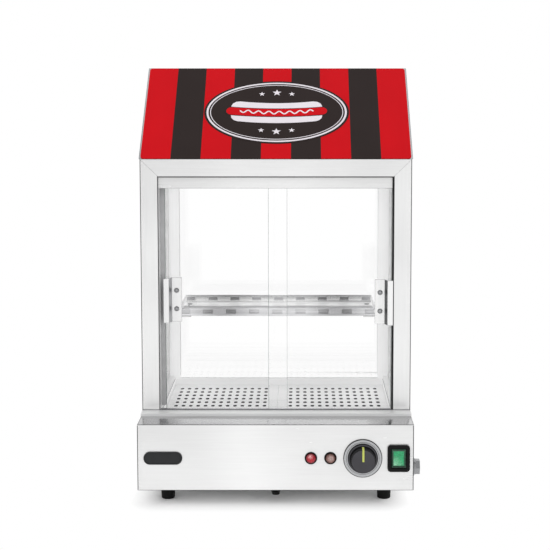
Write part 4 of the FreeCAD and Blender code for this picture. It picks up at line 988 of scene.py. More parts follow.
def studio_lamps():
    """Large soft boxes: one high at the front left, one at the front right and one above."""
    centre = Vector((0, 0, 0.28))
    lamps = (
        ("key", Vector((-1.3, -2.0, 1.7)), 2.4, 17),
        ("fill", Vector((1.7, -1.7, 0.8)), 1.7, 8),
        ("top", Vector((0.2, 0.4, 2.4)), 1.8, 9),
    )
    for name, spot, size, power in lamps:
        data = bpy.data.lights.new(name, "AREA")
        data.shape = "SQUARE"
        data.size = size
        data.energy = power
        lamp = linked(name, data)
        lamp.location = spot
        lamp.rotation_euler = (centre - spot).to_track_quat("-Z", "Y").to_euler()
        lamp.visible_glossy = name == "top"


def studio_camera():
    """The photograph's camera: about 1.8 m in front, level with the roof, looking slightly down."""
    s = sizes()
    data = bpy.data.cameras.new("camera")
    data.lens = s.lens
    data.sensor_width = 36
    data.sensor_fit = "HORIZONTAL"
    data.shift_x = s.shift_x
    data.shift_y = s.shift_y
    data.clip_end = 50
    camera = linked("camera", data)
    camera.location = (s.eye_side, -s.eye_distance, s.eye_height)
    camera.rotation_euler = (math.pi / 2 - math.radians(s.eye_tilt), 0, 0)
    bpy.context.scene.camera = camera
    bpy.context.scene.view_settings.view_transform = "Standard"


# Pieces


class STEAMER_OT_sheets(bpy.types.Operator):
    """Dresses the housing, the sill, the frame and the roof's sheets"""

    bl_idname = "steamer.sheets"
    bl_label = "Sheets and frame"

    def execute(self, context):
        thin, seam = sizes().sheet_round, sizes().mitre_seam
        satin = ("cabinet", "satin_stainless")
        formed = ("cabinet", "formed_stainless")
        # Bevels on edges and folds take the dark fold or shade finish, painted reflection and painted shade;
        # the mitre seams are real joints painted dark the same way.
        place(housing_sheet(), *satin, "base_housing")
        dress_copy(*satin, "sill_flange_sheet", "sill_flange", thin, "sill")
        posts(satin, seam)
        rails = soften("top_rail_tubes", "top_rails", thin, "rail", "fold", skip=not_along_tube, seam=seam)
        place(rails, *satin, "top_rails")
        # The roof sheets show only at their margins, in steel of painted shade.
        dress_copy(*satin, "roof_sheets", "roof_panels", 0.45 * mm, "shade", "fold")
        dress_copy(*satin, "gable_sheets", "roof_gables", thin, "steel_z", "fold")
        place(shelf_sheet(thin), *satin, "bun_shelf")
        dress_copy(*satin, "shelf_brackets", "shelf_supports", thin, "steel_y", "fold")
        dress_copy(*satin, "rear_channel", "rear_glass_channel", thin, "channel", "shade")
        dress_copy(*formed, "door_track_profiles", "door_tracks", thin, "rail", "fold", along=X)
        dress("ceiling_plate", "steel_x")
        dress("base_bottom_plate", "steel_x")
        return {"FINISHED"}


def posts(satin, seam):
    """The four posts, with ground seams where the rails meet them."""
    tube = sizes().tube_round
    for node in ("front_left_post", "front_right_post"):
        dress_copy(*satin, node + "_tube", node, tube, "front_post", "fold", along=Z, seam=seam)
    for node, outward in (("rear_left_post", -1), ("rear_right_post", 1)):
        keys = ("post", "fold", "front_post")
        post = soften(node + "_tube", node, tube, *keys, skip=not_outer_post_edge, seam=seam)
        # The two inner faces stand in the light of the glass and keep the inside finish, whose glow is
        # painted light. The outer faces are as the front posts'.
        for face in post.data.polygons:
            if face.material_index == 0 and (face.normal.y > 0.5 or face.normal.x * outward > 0.5):
                face.material_index = keys.index("front_post")
        place(post, *satin, node)


def shelf_sheet(thin):
    """The bun shelf, whose pockets, level face, ends and rear rim each mirror other things: pockets in
    painted shade, the level face in painted shade and light, the ends and the rear rim in painted light.
    """
    keys = ("shelf", "shelf_fold", "pocket", "tray", "post", "shelf_back")
    shelf = soften("shelf_sheet", "bun_shelf", thin, *keys)
    low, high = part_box("bun_shelf")
    skin, end, rim = 0.4 * mm, 3 * mm, 4 * mm
    pocket_least, pocket_most, tray_least = 20 * mm * mm, 200 * mm * mm, 5000 * mm * mm
    for face in shelf.data.polygons:
        here = face.center
        forward = face.normal.y < -0.9
        if forward and pocket_least < face.area < pocket_most and here.y > low.y + skin:
            face.material_index = keys.index("pocket")
        elif face.normal.z > 0.9 and face.area > tray_least:
            face.material_index = keys.index("tray")
        elif min(here.x - low.x, high.x - here.x) < end:
            face.material_index = keys.index("post")
        elif forward and here.y > high.y - rim:
            face.material_index = keys.index("shelf_back")
    return shelf


def housing_sheet():
    """The base's shell of thin sheet, folded at its corners, open below, with every cut-out in it."""
    low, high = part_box("base_housing")
    sheet, fold, rim, flange, past = 1.0 * mm, 1.1 * mm, 0.7 * mm, 8.0 * mm, 4.0 * mm
    well_front = 68 * mm
    bm = bmesh.new()
    block(bm, low, high)
    folds = [e for e in bm.edges if max(v.co.z for v in e.verts) > low.z + sheet]
    round_edges(bm, folds, fold, 5, 1, clamp_overlap=False)
    rims = [e for e in bm.edges if max(v.co.z for v in e.verts) < low.z + 0.1 * mm]
    round_edges(bm, rims, rim, 2, 1, clamp_overlap=False)
    # The folds and rims stay in the dark fold finish, a painted reflection, but for the top folds' faces that
    # face mostly sideways, which take the sheet's steel. The top face takes the deck's darker steel: painted
    # shade.
    for face in bm.faces:
        if face.material_index == 0 and face.normal.z > 0.9:
            face.material_index = 2
        elif 0.02 < face.normal.z < 0.5:
            face.material_index = 0
    shell = new_piece("base_housing_sheet", bm, "steel_x", "fold", "deck")
    channel_low, channel_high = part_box("rear_glass_channel")
    lip = sheet + flange
    cuts = {
        "inside": ((low.x + sheet, low.y + sheet, low.z + 2 * sheet), high - Vector((sheet, sheet, sheet))),
        "mouth": ((low.x + lip, low.y + lip, low.z - past), (high.x - lip, high.y - lip, low.z + 3 * sheet)),
        "seat": (
            (low.x + sheet, low.y + sheet, low.z - past),
            (high.x - sheet, high.y - sheet, low.z + sheet),
        ),
        "well": (
            (channel_low.x, low.y + well_front, high.z - past),
            (channel_high.x, channel_high.y, high.z + past),
        ),
    }
    tools = []
    for name, corners in cuts.items():
        bm = bmesh.new()
        block(bm, *corners)
        tools.append(cutter("cut_" + name, bm))
    return carved(shell, *tools, cutter("cut_openings", housing_openings(low, high, past)))


def housing_openings(low, high, past):
    """What is cut out of the housing's walls for the controls, the drain, the gland and the vents."""
    control_z = 60.0 * mm
    lamp_hole, knob_hole, drain_hole, gland_hole = 6.3 * mm, 5.3 * mm, 6.8 * mm, 7.8 * mm
    switch_inset = 1.7 * mm
    vents, vent_pitch, vent_half, vent_low, vent_high = 9, 11 * mm, 2 * mm, 32 * mm, 66 * mm
    bm = bmesh.new()
    for node, radius in (
        ("heating_lamp_lens", lamp_hole),
        ("power_lamp_lens", lamp_hole),
        ("control_knob", knob_hole),
    ):
        rod(bm, radius, Vector((middle(node).x, low.y - past, control_z)), Y, 2 * past)
    switch_low, switch_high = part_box("switch_bezel")
    corner = (switch_low.x + switch_inset, low.y - past, switch_low.z + switch_inset)
    block(bm, corner, (switch_high.x - switch_inset, low.y + past, switch_high.z - switch_inset))
    drain = middle("drain_collar")
    rod(bm, drain_hole, Vector((high.x - past, drain.y, drain.z)), X, 2 * past)
    rod(bm, gland_hole, centre_at("cable_gland", high.y - past), Y, 2 * past)
    for step in range(vents):
        x = (low.x + high.x) / 2 + vent_pitch * (step + 1)
        block(bm, (x - vent_half, high.y - past, vent_low), (x + vent_half, high.y + past, vent_high))
    return bm


def not_along_tube(edge):
    """False for the long edges of a tube that runs along X or Y."""
    run = run_of(edge).normalized()
    return max(abs(run.x), abs(run.y)) < 0.999


def not_outer_post_edge(edge):
    """False for the upright edges on the outside of the cabinet."""
    low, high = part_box("base_housing")
    start = edge.verts[0].co
    outside = min(abs(start.x - low.x), abs(start.x - high.x), abs(start.y - high.y)) < 0.1 * mm
    return abs(run_of(edge).normalized().z) < 0.999 or not outside


class STEAMER_OT_glazing(bpy.types.Operator):
    """Dresses the panes, the doors, the seals and the stops"""

    bl_idname = "steamer.glazing"
    bl_label = "Glass and seals"

    def execute(self, context):
        arris = sizes().glass_round
        glass = "toughened_glass"
        dress_copy("cabinet", glass, "side_and_rear_panes", "cabinet_panes", arris, "glass", segments=1)
        for side in ("left", "right"):
            node, name = side + "_door_glass", side + "_door_pane"
            pane = soften(name, node, arris, "glass", "glass_edge", segments=1, skip=short_edge)
            for face in pane.data.polygons:
                if abs(face.normal.x) > 0.9:
                    face.material_index = 1
            place(pane, side + "_door", glass, node)
            dress(side + "_door_glides", "nylon")
        dress("glass_seals", "seal")
        dress_copy("cabinet", "black_rubber", "door_stops_and_strips", "door_stops", 0.3 * mm, "silicone")
        # Thin dark strips stand in the gaps round the opening: painted shadow.
        place(opening_bead(), "cabinet", "black_rubber")
        return {"FINISHED"}


def short_edge(edge):
    return edge.calc_length() < 0.1


def opening_bead():
    """Thin strips of painted shadow in the gaps round the opening: black under the rail and up the right
    post, and in the grey of painted shade along the sill.
    """
    left_low, left_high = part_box("front_left_post")
    right_low, right_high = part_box("front_right_post")
    bead, depth, setback, lip = 1.2 * mm, 6 * mm, 1.5 * mm, 0.8 * mm
    x0, x1 = left_high.x, right_low.x
    front = left_low.y
    rear = front + depth
    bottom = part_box("sill_flange")[1].z
    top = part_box("left_door_glass")[1].z + 1.8 * mm
    bm = bmesh.new()
    block(bm, (x0, front + setback, top - bead), (x1, rear, top))
    block(bm, (x1 - bead, front + setback, bottom), (x1, rear, top - bead))
    block(bm, (left_low.x, front - lip, bottom), (right_high.x, front, bottom + lip))
    block(bm, (x0, front, bottom), (x1 - bead, rear, bottom + bead))
    for face in bm.faces:
        if face.calc_center_median().z < bottom + 2 * bead:
            face.material_index = 1
    round_edges(bm, [e for e in bm.edges if not short_edge(e)], 0.15 * mm, 1, 0, profile=0)
    return new_piece("opening_bead", bm, "rubber", "shade")


class STEAMER_OT_plates(bpy.types.Operator):
    """Builds the two slotted plates over the water"""

    bl_idname = "steamer.plates"
    bl_label = "Slotted plates"

    def execute(self, context):
        s = sizes()
        tree = slotted_plate_tree()
        # The slots are counted from the joint between the plates.
        joint_x = (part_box("left_perforated_plate")[1].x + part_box("right_perforated_plate")[0].x) / 2
        field_width = s.column_pitch * (s.columns - 1)
        field_depth = s.row_pitch * (s.rows - 1)
        for side, sign in (("left", -1), ("right", 1)):
            node = side + "_perforated_plate"
            low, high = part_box(node)
            centre = middle(node)
            far_x = joint_x + sign * s.column_pitch * (s.columns + s.column_margin)
            field_x = far_x - sign * field_width / 2
            field_y = low.y + s.front_margin + field_depth / 2
            values = {
                "Width": high.x - low.x,
                "Depth": high.y - low.y,
                "Thickness": high.z - low.z,
                "Slot Width": s.slot_width,
                "Slot Length": s.slot_length,
                "Columns": s.columns,
                "Rows": s.rows,
                "Field Width": field_width,
                "Field Depth": field_depth,
                "Field Place": (field_x - centre.x, field_y - centre.y, 0.0),
                "Plate Place": (centre.x, centre.y, low.z),
                "Finish": finish("plate"),
                # The slots' walls are dark: painted shade.
                "Cut Finish": finish("socket"),
            }
            name = node + "_sheet"
            plate = grown(name, tree, bpy.data.meshes.new(name), values)
            place(plate, side + "_plate", "formed_stainless", node)
        return {"FINISHED"}


class STEAMER_OT_handles(bpy.types.Operator):
    """Builds the folded door handles and their screws"""

    bl_idname = "steamer.handles"
    bl_label = "Handles"

    def execute(self, context):
        for side, outward in (("left", -1), ("right", 1)):
            glass_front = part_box(side + "_door_glass")[0].y
            handle = folded_handle(side, outward, glass_front)
            place(handle, side + "_door", "satin_stainless", side + "_handle")
            screws = handle_screws(side, glass_front)
            place(screws, side + "_door", "plated_fixings", side + "_handle_fixings")
        return {"FINISHED"}


handle_gauge = 1.5 * mm


def folded_handle(side, outward, glass_front):
    """One strip of sheet: a plate on the glass, a slanted wall and a lip that stands forward."""
    low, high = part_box(side + "_handle")
    plate_width, lip, bend = 13.5 * mm, 6.0 * mm, 1.6 * mm
    far, tip = (high.x, low.x) if outward < 0 else (low.x, high.x)
    half = handle_gauge / 2
    edge = far + outward * (plate_width - half * 0.5)
    knee = tip - outward * (lip + half * 0.5)
    rear_y, front_y = glass_front - half, low.y + half
    line = [Vector(p) for p in ((far, rear_y), (edge, rear_y), (knee, front_y), (tip, front_y))]
    fold_line = [line[0]]
    for before, corner, after in zip(line, line[1:], line[2:]):
        fold_line += flat_arc(corner, before, after, bend)
    outer, inner = both_sides(fold_line + line[-1:], half)
    bm = bmesh.new()
    prism(bm, [Vector((*p, low.z)) for p in outer + inner[::-1]], Z * (high.z - low.z))
    bmesh.ops.recalc_face_normals(bm, faces=bm.faces)
    round_edges(bm, [e for e in bm.edges if is_sharp(e, 40)], 0.3 * mm, 2, 1)
    for face in bm.faces:
        if face.material_index == 0 and abs(face.normal.x) > 0.85:
            face.material_index = 2
    bmesh.ops.triangulate(bm, faces=[f for f in bm.faces if len(f.verts) > 4])
    # The walls and rims are painted shade. The right handle's wall is darker, as it faces the dark gap beside
    # it, and the left one's lighter, as it is lit by the opening.
    wall = "shade" if outward < 0 else "fold"
    return new_piece(side + "_handle_strip", bm, "steel_z", "shade", wall, smooth_angle=25)


def screw_part(head, rise, socket, back, shank, nut_flat, nut_rise):
    """A button-head screw with a hexagonal socket, seen from the front (-Y), with its nut behind."""
    steps = 24
    nut_back = back + nut_rise
    # Each ring is round or has six sides, and has a size and a place along Y.
    profile = [
        ("round", shank, back + nut_rise * 1.2),
        ("round", shank, nut_back),
        ("six", nut_flat, nut_back),
        ("six", nut_flat, back),
        ("round", shank, back),
        ("round", shank, 0),
        ("round", head * 0.99, 0),
    ]
    for share, reach in ((1.0, 0.22), (0.97, 0.45), (0.88, 0.72), (0.74, 0.92), (0.66, 1.0)):
        profile.append(("round", head * share, -rise * reach))
    for share, reach in ((1.0, 1.0), (0.93, 0.92), (0.93, 0.25)):
        profile.append(("six", socket * share, -rise * reach))
    bm = bmesh.new()
    rings = []
    for shape, size, y in profile:
        ring = []
        for step in range(steps):
            angle = 2 * math.pi * step / steps
            radius = size
            if shape == "six":
                radius = size / math.cos(angle % (math.pi / 3) - math.pi / 6)
            ring.append(bm.verts.new((radius * math.cos(angle), y, radius * math.sin(angle))))
        rings.append(ring)
    for low, high in zip(rings, rings[1:]):
        bridge(bm, low, high)
    bm.faces.new(rings[0][::-1])
    bm.faces.new(rings[-1])
    # The dark rim of the head and the socket are painted shade.
    for face, out, height in seen_from_front(bm, Vector((0, 0, 0))):
        if height > 0 and out > head * 0.93:
            face.material_index = 1
        elif height > 0 and out < socket:
            face.material_index = 2
    return closed_piece("screw", bm, "zinc", "socket", "shade")


def handle_screws(side, glass_front):
    low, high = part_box(side + "_handle_fixings")
    head = sizes().screw_head
    shank, nut_corner, nut_rise = 2.0 * mm, 3.8 * mm, 2.4 * mm
    nut_flat = nut_corner * math.cos(math.pi / 6)
    x = (low.x + high.x) / 2
    y = glass_front - handle_gauge
    reach = max(head, nut_flat)
    nut_at = high.y - y - nut_rise
    rise, socket = sizes().screw_rise, sizes().screw_socket
    # The nut ends just short of the box's back.
    part = screw_part(head, rise, socket, nut_at, shank, nut_flat, nut_rise * 0.98)
    return repeat(side + "_handle_screws", part, [(x, y, z) for z in (low.z + reach, high.z - reach)])


class STEAMER_OT_sign(bpy.types.Operator):
    """Builds the striped print on both roof slopes and the oval emblems"""

    bl_idname = "steamer.sign"
    bl_label = "Roof sign"

    def execute(self, context):
        slopes = [RoofSlope(front) for front in (True, False)]
        for parity, tone in enumerate(("red", "black")):
            bm = bmesh.new()
            for slope in slopes:
                for index in range(parity, sizes().stripes, 2):
                    stripe(bm, slope, index)
            node = "sign_" + tone + "_stripes"
            place(closed_piece(node + "_print", bm, "print_" + tone), "cabinet", "sign_" + tone, node)
        bm = bmesh.new()
        for slope in slopes:
            oval_emblem(bm, slope)
        emblem = closed_piece("oval_emblems", bm, "print_black", "print_white", "print_red")
        place(emblem, "cabinet", "sign_emblem", "sign_emblems")
        return {"FINISHED"}


class RoofSlope:
    """One slope of the roof, with u along X from its middle, v up the slope and h out of it."""

    eave_front_y = -98.0 * mm
    ridge_y = 33.5 * mm
    eave_back_y = 154.5 * mm
    eave_z = 435.0 * mm
    ridge_z = 553.6 * mm
    margin = 2.0 * mm

    def __init__(self, front):
        low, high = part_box("roof_panels")
        self.half = (high.x - low.x) / 2 - self.margin
        start_y = self.eave_front_y if front else self.eave_back_y
        self.origin = Vector(((low.x + high.x) / 2, start_y, self.eave_z))
        rise = Vector((0, self.ridge_y - start_y, self.ridge_z - self.eave_z))
        self.length = rise.length
        self.up = rise.normalized()
        self.along = X if front else -X
        self.out = self.along.cross(self.up)

    def point(self, flat, h):
        return self.origin + self.along * flat.x + self.up * flat.y + self.out * h


def stripe(bm, slope, index):
    """One printed stripe; the first and the last have the sheet's round outer corners."""
    stripes = sizes().stripes
    width = 2 * slope.half / stripes
    u0 = -slope.half + width * index
    u1 = u0 + width
    # The sheets of the two slopes meet at the ridge, so each one ends short of it.
    v0, v1 = slope.margin, slope.length - slope.margin
    corners = [Vector(p) for p in ((u0, v0), (u1, v0), (u1, v1), (u0, v1))]
    round_here = {0: (0, 3), stripes - 1: (1, 2)}.get(index, ())
    outline = []
    for number, corner in enumerate(corners):
        if number in round_here:
            outline += flat_arc(corner, corners[number - 1], corners[(number + 1) % 4], sizes().sign_corner)
        else:
            outline.append(corner)
    skin_low, skin_high = -1.2 * mm, -0.6 * mm
    layer(bm, slope, outline, skin_low, skin_high, 0)


def layer(bm, slope, outline, low, high, material):
    """A flat outline as a thin solid on the slope, from one height over it to another."""
    prism(bm, [slope.point(p, low) for p in outline], slope.out * (high - low), material)


def band(bm, slope, outer, inner, low, high, material):
    """A flat ring between two outlines with as many points."""
    rings = []
    for outline, h in ((outer, low), (outer, high), (inner, high), (inner, low)):
        rings.append([bm.verts.new(slope.point(p, h)) for p in outline])
    for first, second in zip(rings, rings[1:] + rings[:1]):
        bridge(bm, first, second, material)


def round_points(centre, angles, half_u, half_v):
    return [centre + Vector((half_u * math.cos(a), half_v * math.sin(a))) for a in angles]


def oval(centre, half_u, half_v):
    corners = 72
    return round_points(centre, [2 * math.pi * step / corners for step in range(corners)], half_u, half_v)


def thick_line(line, half):
    """The outline of a rounded line of constant width along these points."""
    cap_steps = 6
    left, right = both_sides(line, half)
    caps = []
    for tip, inward in ((line[-1], line[-2]), (line[0], line[1])):
        run = tip - inward
        start = math.atan2(run.y, run.x) + math.pi / 2
        angles = [start - math.pi * step / cap_steps for step in range(1, cap_steps)]
        caps.append(round_points(tip, angles, half, half))
    return left + caps[0] + right[::-1] + caps[1]


def star(centre, radius):
    tips, waist = 5, 0.42
    outline = []
    for step in range(2 * tips):
        reach = radius * (1 if step % 2 == 0 else waist)
        outline += round_points(centre, [math.pi / 2 + math.pi * step / tips], reach, reach)
    return outline


def oval_emblem(bm, slope):
    """A dark oval with pale rings round a plain sausage in a bun, with stars above and below it."""
    half_u, half_v = sizes().emblem_half_width, sizes().emblem_half_height
    centre = Vector((0, slope.length / 2))
    dark, pale, red = 0, 1, 2
    # Heights over the slope: under the oval, then on the oval, bun, outline and sausage, and the top.
    under, field, bun, outline, filling, top = -0.6 * mm, -0.35 * mm, -0.2 * mm, -0.1 * mm, -0.04 * mm, 0.0
    reach, bend, filling_lift = 50 * mm, 3.5 * mm, 1.5 * mm

    def curve(half_length, lift, steps=18, swing=0.0):
        """A line that sags at its middle, with waves of this swing on it."""
        waves = 3.5
        points = []
        for step in range(steps + 1):
            share = 2 * step / steps - 1
            wave = swing * math.sin(share * 2 * waves * math.pi)
            points.append(centre + Vector((share * half_length, lift - bend * (1 - share * share) + wave)))
        return points

    layer(bm, slope, oval(centre, half_u, half_v), under, field, dark)
    for gap, width in ((3.0 * mm, 2.6 * mm), (7.8 * mm, 1.0 * mm)):
        outer = oval(centre, half_u - gap, half_v - gap)
        inner = oval(centre, half_u - gap - width, half_v - gap - width)
        band(bm, slope, outer, inner, field, bun, pale)
    for line, half, low, high, tone in (
        (curve(reach, 9.5 * mm), 10.5 * mm, field, bun, pale),
        (curve(reach, -7.5 * mm), 10.5 * mm, field, bun, pale),
        (curve(reach + 10.5 * mm, filling_lift), 8.2 * mm, bun, outline, dark),
        (curve(reach + 10.0 * mm, filling_lift), 7.0 * mm, outline, filling, red),
        (curve(reach * 0.96, filling_lift, 60, 2.6 * mm), 1.0 * mm, filling, top, pale),
    ):
        layer(bm, slope, thick_line(line, half), low, high, tone)
    for v, beside_v in ((37.0 * mm, 34.5 * mm), (-37.5 * mm, -35.0 * mm)):
        for u, height, radius in (
            (0.0, v, 6.2 * mm),
            (-20.0 * mm, beside_v, 4.2 * mm),
            (20.0 * mm, beside_v, 4.2 * mm),
        ):
            layer(bm, slope, star(centre + Vector((u, height)), radius), field, bun, pale)


class STEAMER_OT_knob(bpy.types.Operator):
    """Builds the thermostat knob, its pointer and the ring round it"""

    bl_idname = "steamer.knob"
    bl_label = "Knob and ring"

    def execute(self, context):
        centre = centre_at("control_knob", panel_y)
        knob_and_pointer(centre)
        dial_ring(centre)
        dress("thermostat_shaft", "zinc")
        return {"FINISHED"}


def knob_and_pointer(centre):
    """A stepped knob with a grey face, a painted highlight ring of the same grey on its skirt, and its pale
    line over the face's edge.
    """
    low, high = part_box("control_knob")
    skirt = (high.x - low.x) / 2
    waist, tip, bore = 15.9 * mm, 15.15 * mm, 3.0 * mm
    # The pointer stands a little proud of the face, up to the front of the knob's box.
    face = panel_y - low.y - 0.1 * mm
    back = panel_y - high.y
    skirt_front = back + 4.2 * mm
    profile = [
        (bore, back),
        (skirt, back),
        (skirt, skirt_front - 1.1 * mm),
        (waist + 1.0 * mm, skirt_front),
        (waist, skirt_front + 0.4 * mm),
        (tip, face),
        (12.0 * mm, face),
        (0, face - 0.5 * mm),
    ]
    outer = rounded(profile, 0.9 * mm, skip=(1,))
    inside = [(0, face - 3.2 * mm), (bore, face - 3.2 * mm), (bore, back)]
    bm = bmesh.new()
    lathe(bm, inside + outer[1:], centre, -Y, 96)
    for each, radius, height in seen_from_front(bm, centre):
        on_face = radius < tip - 0.6 * mm and height > face - 1.2 * mm
        # A ring of grey on the skirt is a painted highlight.
        skirt_highlight = waist + 0.9 * mm < radius < skirt - 0.2 * mm and height > skirt_front - 1.0 * mm
        each.material_index = 1 if on_face or skirt_highlight else 0
    knob = closed_piece("control_knob_moulding", bm, "black", "knob", smooth_angle=40)
    place(knob, "knob", "black_moulding", "control_knob")
    track = [(r, h) for r, h in outer if 0 < r <= waist and h > skirt_front + 0.8 * mm]
    place(knob_line(centre, track, face), "knob", "pointer_paint", "knob_pointer")


def knob_line(centre, track, face):
    """The raised pale line: from just below the middle of the face up and over its edge to the skirt."""
    half, proud, thick, overhang = 1.25 * mm, 0.08 * mm, 0.5 * mm, 0.4 * mm
    outer_radius, outer_z = 15.0 * mm, 14.5 * mm
    path = [(-0.4 * mm, face - 0.35 * mm), *sorted(track, key=lambda p: (-p[1], p[0]))]
    bm = bmesh.new()
    top, under = [], []
    for radius, height in path:
        row = []
        for share in (-1, -0.5, 0, 0.5, 1):
            x = half * share
            z = radius if radius < half * 2 else math.sqrt(radius * radius - x * x)
            z += proud if radius > outer_radius else 0
            row.append(centre + Vector((x, -height - proud, z)))
        inward = overhang if row[0].z - centre.z > outer_z else 0
        top.append([bm.verts.new(p) for p in row])
        under.append([bm.verts.new(p + Vector((0, thick, -inward))) for p in row])
    for first in range(len(path) - 1):
        # Round the line from one row to the next: over the top and back below it.
        bridge(bm, top[first] + under[first][::-1], top[first + 1] + under[first + 1][::-1])
    for row, below in ((top[0], under[0]), (top[-1], under[-1])):
        for a in range(4):
            bm.faces.new((row[a], below[a], below[a + 1], row[a + 1]))
    return closed_piece("knob_pointer_line", bm, "pointer", smooth_angle=60)


def dial_ring(centre):
    """The spun ring round the knob, with a rim and a groove painted black: painted reflection on the rim and
    painted shade in the groove.
    """
    low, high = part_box("dial_ring")
    radius = (high.x - low.x) / 2
    rise = panel_y - low.y
    bore, land = 17.0 * mm, rise - 0.3 * mm
    profile = [
        (bore, 0),
        (radius, 0),
        (radius, rise - 0.5 * mm),
        (radius - 0.3 * mm, rise),
        (radius - 0.7 * mm, rise),
        (radius - 0.9 * mm, land),
        (20.9 * mm, land),
        (20.7 * mm, rise - 0.6 * mm),
        (20.5 * mm, land),
        (19.3 * mm, land),
        (19.2 * mm, 1.0 * mm),
        (bore, 1.0 * mm),
        (bore, 0),
    ]
    bm = bmesh.new()
    lathe(bm, rounded(profile, 0.1 * mm, skip=(1, 11)), centre, -Y, 96)
    # The black rim is a painted reflection, and the black groove painted shade.
    for each, out, _ in seen_from_front(bm, centre):
        in_groove = 20.55 * mm < out < 20.85 * mm
        each.material_index = 1 if out > radius - 0.75 * mm or in_groove else 0
    ring = closed_piece("dial_ring_spun", bm, "chrome", "black", smooth_angle=35)
    place(ring, "cabinet", "plated_fixings", "dial_ring")


class STEAMER_OT_lamps(bpy.types.Operator):
    """Builds the two pilot lamps"""

    bl_idname = "steamer.lamps"
    bl_label = "Pilot lamps"

    def execute(self, context):
        lens, bezel, bezel_rise, seat = 6.4 * mm, 8.0 * mm, 2.2 * mm, 1.6 * mm
        mouth = lens + 0.02 * mm
        profile = [
            (mouth, 0),
            (bezel, 0),
            (bezel, 0.9 * mm),
            (7.4 * mm, bezel_rise),
            (lens + 0.4 * mm, bezel_rise),
            (mouth, seat),
            (mouth, 0),
        ]
        ring = rounded(profile, 0.5 * mm, skip=(1,))
        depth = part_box("lamp_bodies")[1].y - panel_y
        start, body, tail = -1.2 * mm, 5.9 * mm, 5.2 * mm
        barrel = [(0, start), (body, start), (body, 1.0 * mm - depth), (tail, -depth), (0, -depth)]
        bezels = bmesh.new()
        for node, key in (("heating_lamp_lens", "red_lens"), ("power_lamp_lens", "amber_lens")):
            centre = centre_at(node, panel_y)
            lathe(bezels, ring, centre, -Y, 48)
            lathe(bezels, barrel, centre, -Y, 32)
            place(lens_dome(node, key, centre, lens, seat), "cabinet", key, node)
        place(closed_piece("lamp_bezels", bezels, "black"), "cabinet", "black_moulding", "lamp_bodies")
        return {"FINISHED"}


def lens_dome(node, key, centre, lens, seat):
    """A domed lens on a neck as wide as the CAD solid."""
    low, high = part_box(node)
    neck = (high.x - low.x) / 2
    front = panel_y - low.y
    neck_end, shoulder, steps = -1.0 * mm, 0.2 * mm, 8
    dome = [(0, neck_end), (neck, neck_end), (neck, shoulder), (lens, shoulder), (lens, seat)]
    for step in range(1, steps):
        angle = math.pi / 2 * step / steps
        dome.append((lens * math.cos(angle), seat + (front - seat) * math.sin(angle)))
    return turned(node + "_dome", [*dome, (0, front)], centre, -Y, 48, key)


class STEAMER_OT_switch(bpy.types.Operator):
    """Builds the rocker switch"""

    bl_idname = "steamer.switch"
    bl_label = "Mains switch"

    def execute(self, context):
        bezel = ("switch_bezel_moulding", "switch_bezel", 0.9 * mm, "black")
        dress_copy("cabinet", "black_moulding", *bezel, segments=3)
        place(rocker_key(), "rocker", "green_rocker", "switch_rocker")
        dress("switch_body", "black")
        return {"FINISHED"}


def rocker_key():
    """A dished rocker with softly rounded edges, tilted to its off side on its trunnions."""
    centre = centre_at("switch_bezel", panel_y)
    half_w, half_h, proud, dish, back = 9.3 * mm, 11.6 * mm, 5.0 * mm, 2.2 * mm, 5.0 * mm
    trunnion, trunnion_half, pivot_depth = 1.5 * mm, 11.1 * mm, 1.8 * mm
    tilt = math.radians(-6)
    steps = 14
    outline = []
    for step in range(steps + 1):
        share = 2 * step / steps - 1
        hollow = dish * (1 - share * share)
        outline.append(centre + Vector((-half_w, hollow - proud, half_h * share)))
    for y, z in ((back, half_h), (back + dish, 0), (back, -half_h)):
        outline.append(centre + Vector((-half_w, y, z)))
    bm = bmesh.new()
    prism(bm, outline, X * (2 * half_w))
    bmesh.ops.recalc_face_normals(bm, faces=bm.faces)
    rims = [e for e in bm.edges if is_sharp(e, 40) and all(v.co.y < panel_y for v in e.verts)]
    round_edges(bm, rims, 1.1 * mm, 3)
    front = [f for f in bm.faces if f.normal.y < -0.7 and f.calc_area() > 12 * mm * mm]
    bmesh.ops.inset_region(bm, faces=front, thickness=1.5 * mm, depth=-0.35 * mm)
    for face in front:
        face.material_index = 1
    pivot = centre + Y * pivot_depth
    rod(bm, trunnion, pivot - X * trunnion_half, X, 2 * trunnion_half, 20)
    turn = Matrix.Translation(pivot) @ Matrix.Rotation(tilt, 4, "X") @ Matrix.Translation(-pivot)
    bmesh.ops.transform(bm, matrix=turn, verts=bm.verts)
    return closed_piece("switch_rocker_key", bm, "rocker", "window", smooth_angle=45)


class STEAMER_OT_trim(bpy.types.Operator):
    """Builds the badge, the feet, the drain fitting and the button under the base"""

    bl_idname = "steamer.trim"
    bl_label = "Badge, feet and drain"

    def execute(self, context):
        plated, black = "plated_fixings", "black_moulding"
        dress_copy("cabinet", "badge_enamel", "badge_pill", "badge_plate", 1.1 * mm, "badge", "black")
        place(rubber_feet(), "cabinet", "black_rubber", "feet")
        dress_copy("drain_plug", plated, "drain_cap_hexagon", "drain_cap", 0.6 * mm, "zinc", segments=3)
        dress_copy("cabinet", plated, "drain_collar_nut", "drain_collar", 0.4 * mm, "zinc")
        dress_copy("reset", black, "reset_cap", "reset_button", 0.6 * mm, "black", segments=3)
        dress_copy("cabinet", black, "cutout_and_nut", "overheat_cutout", 0.3 * mm, "black")
        dress_copy("cabinet", black, "cable_gland_moulding", "cable_gland", 0.6 * mm, "black", segments=3)
        return {"FINISHED"}


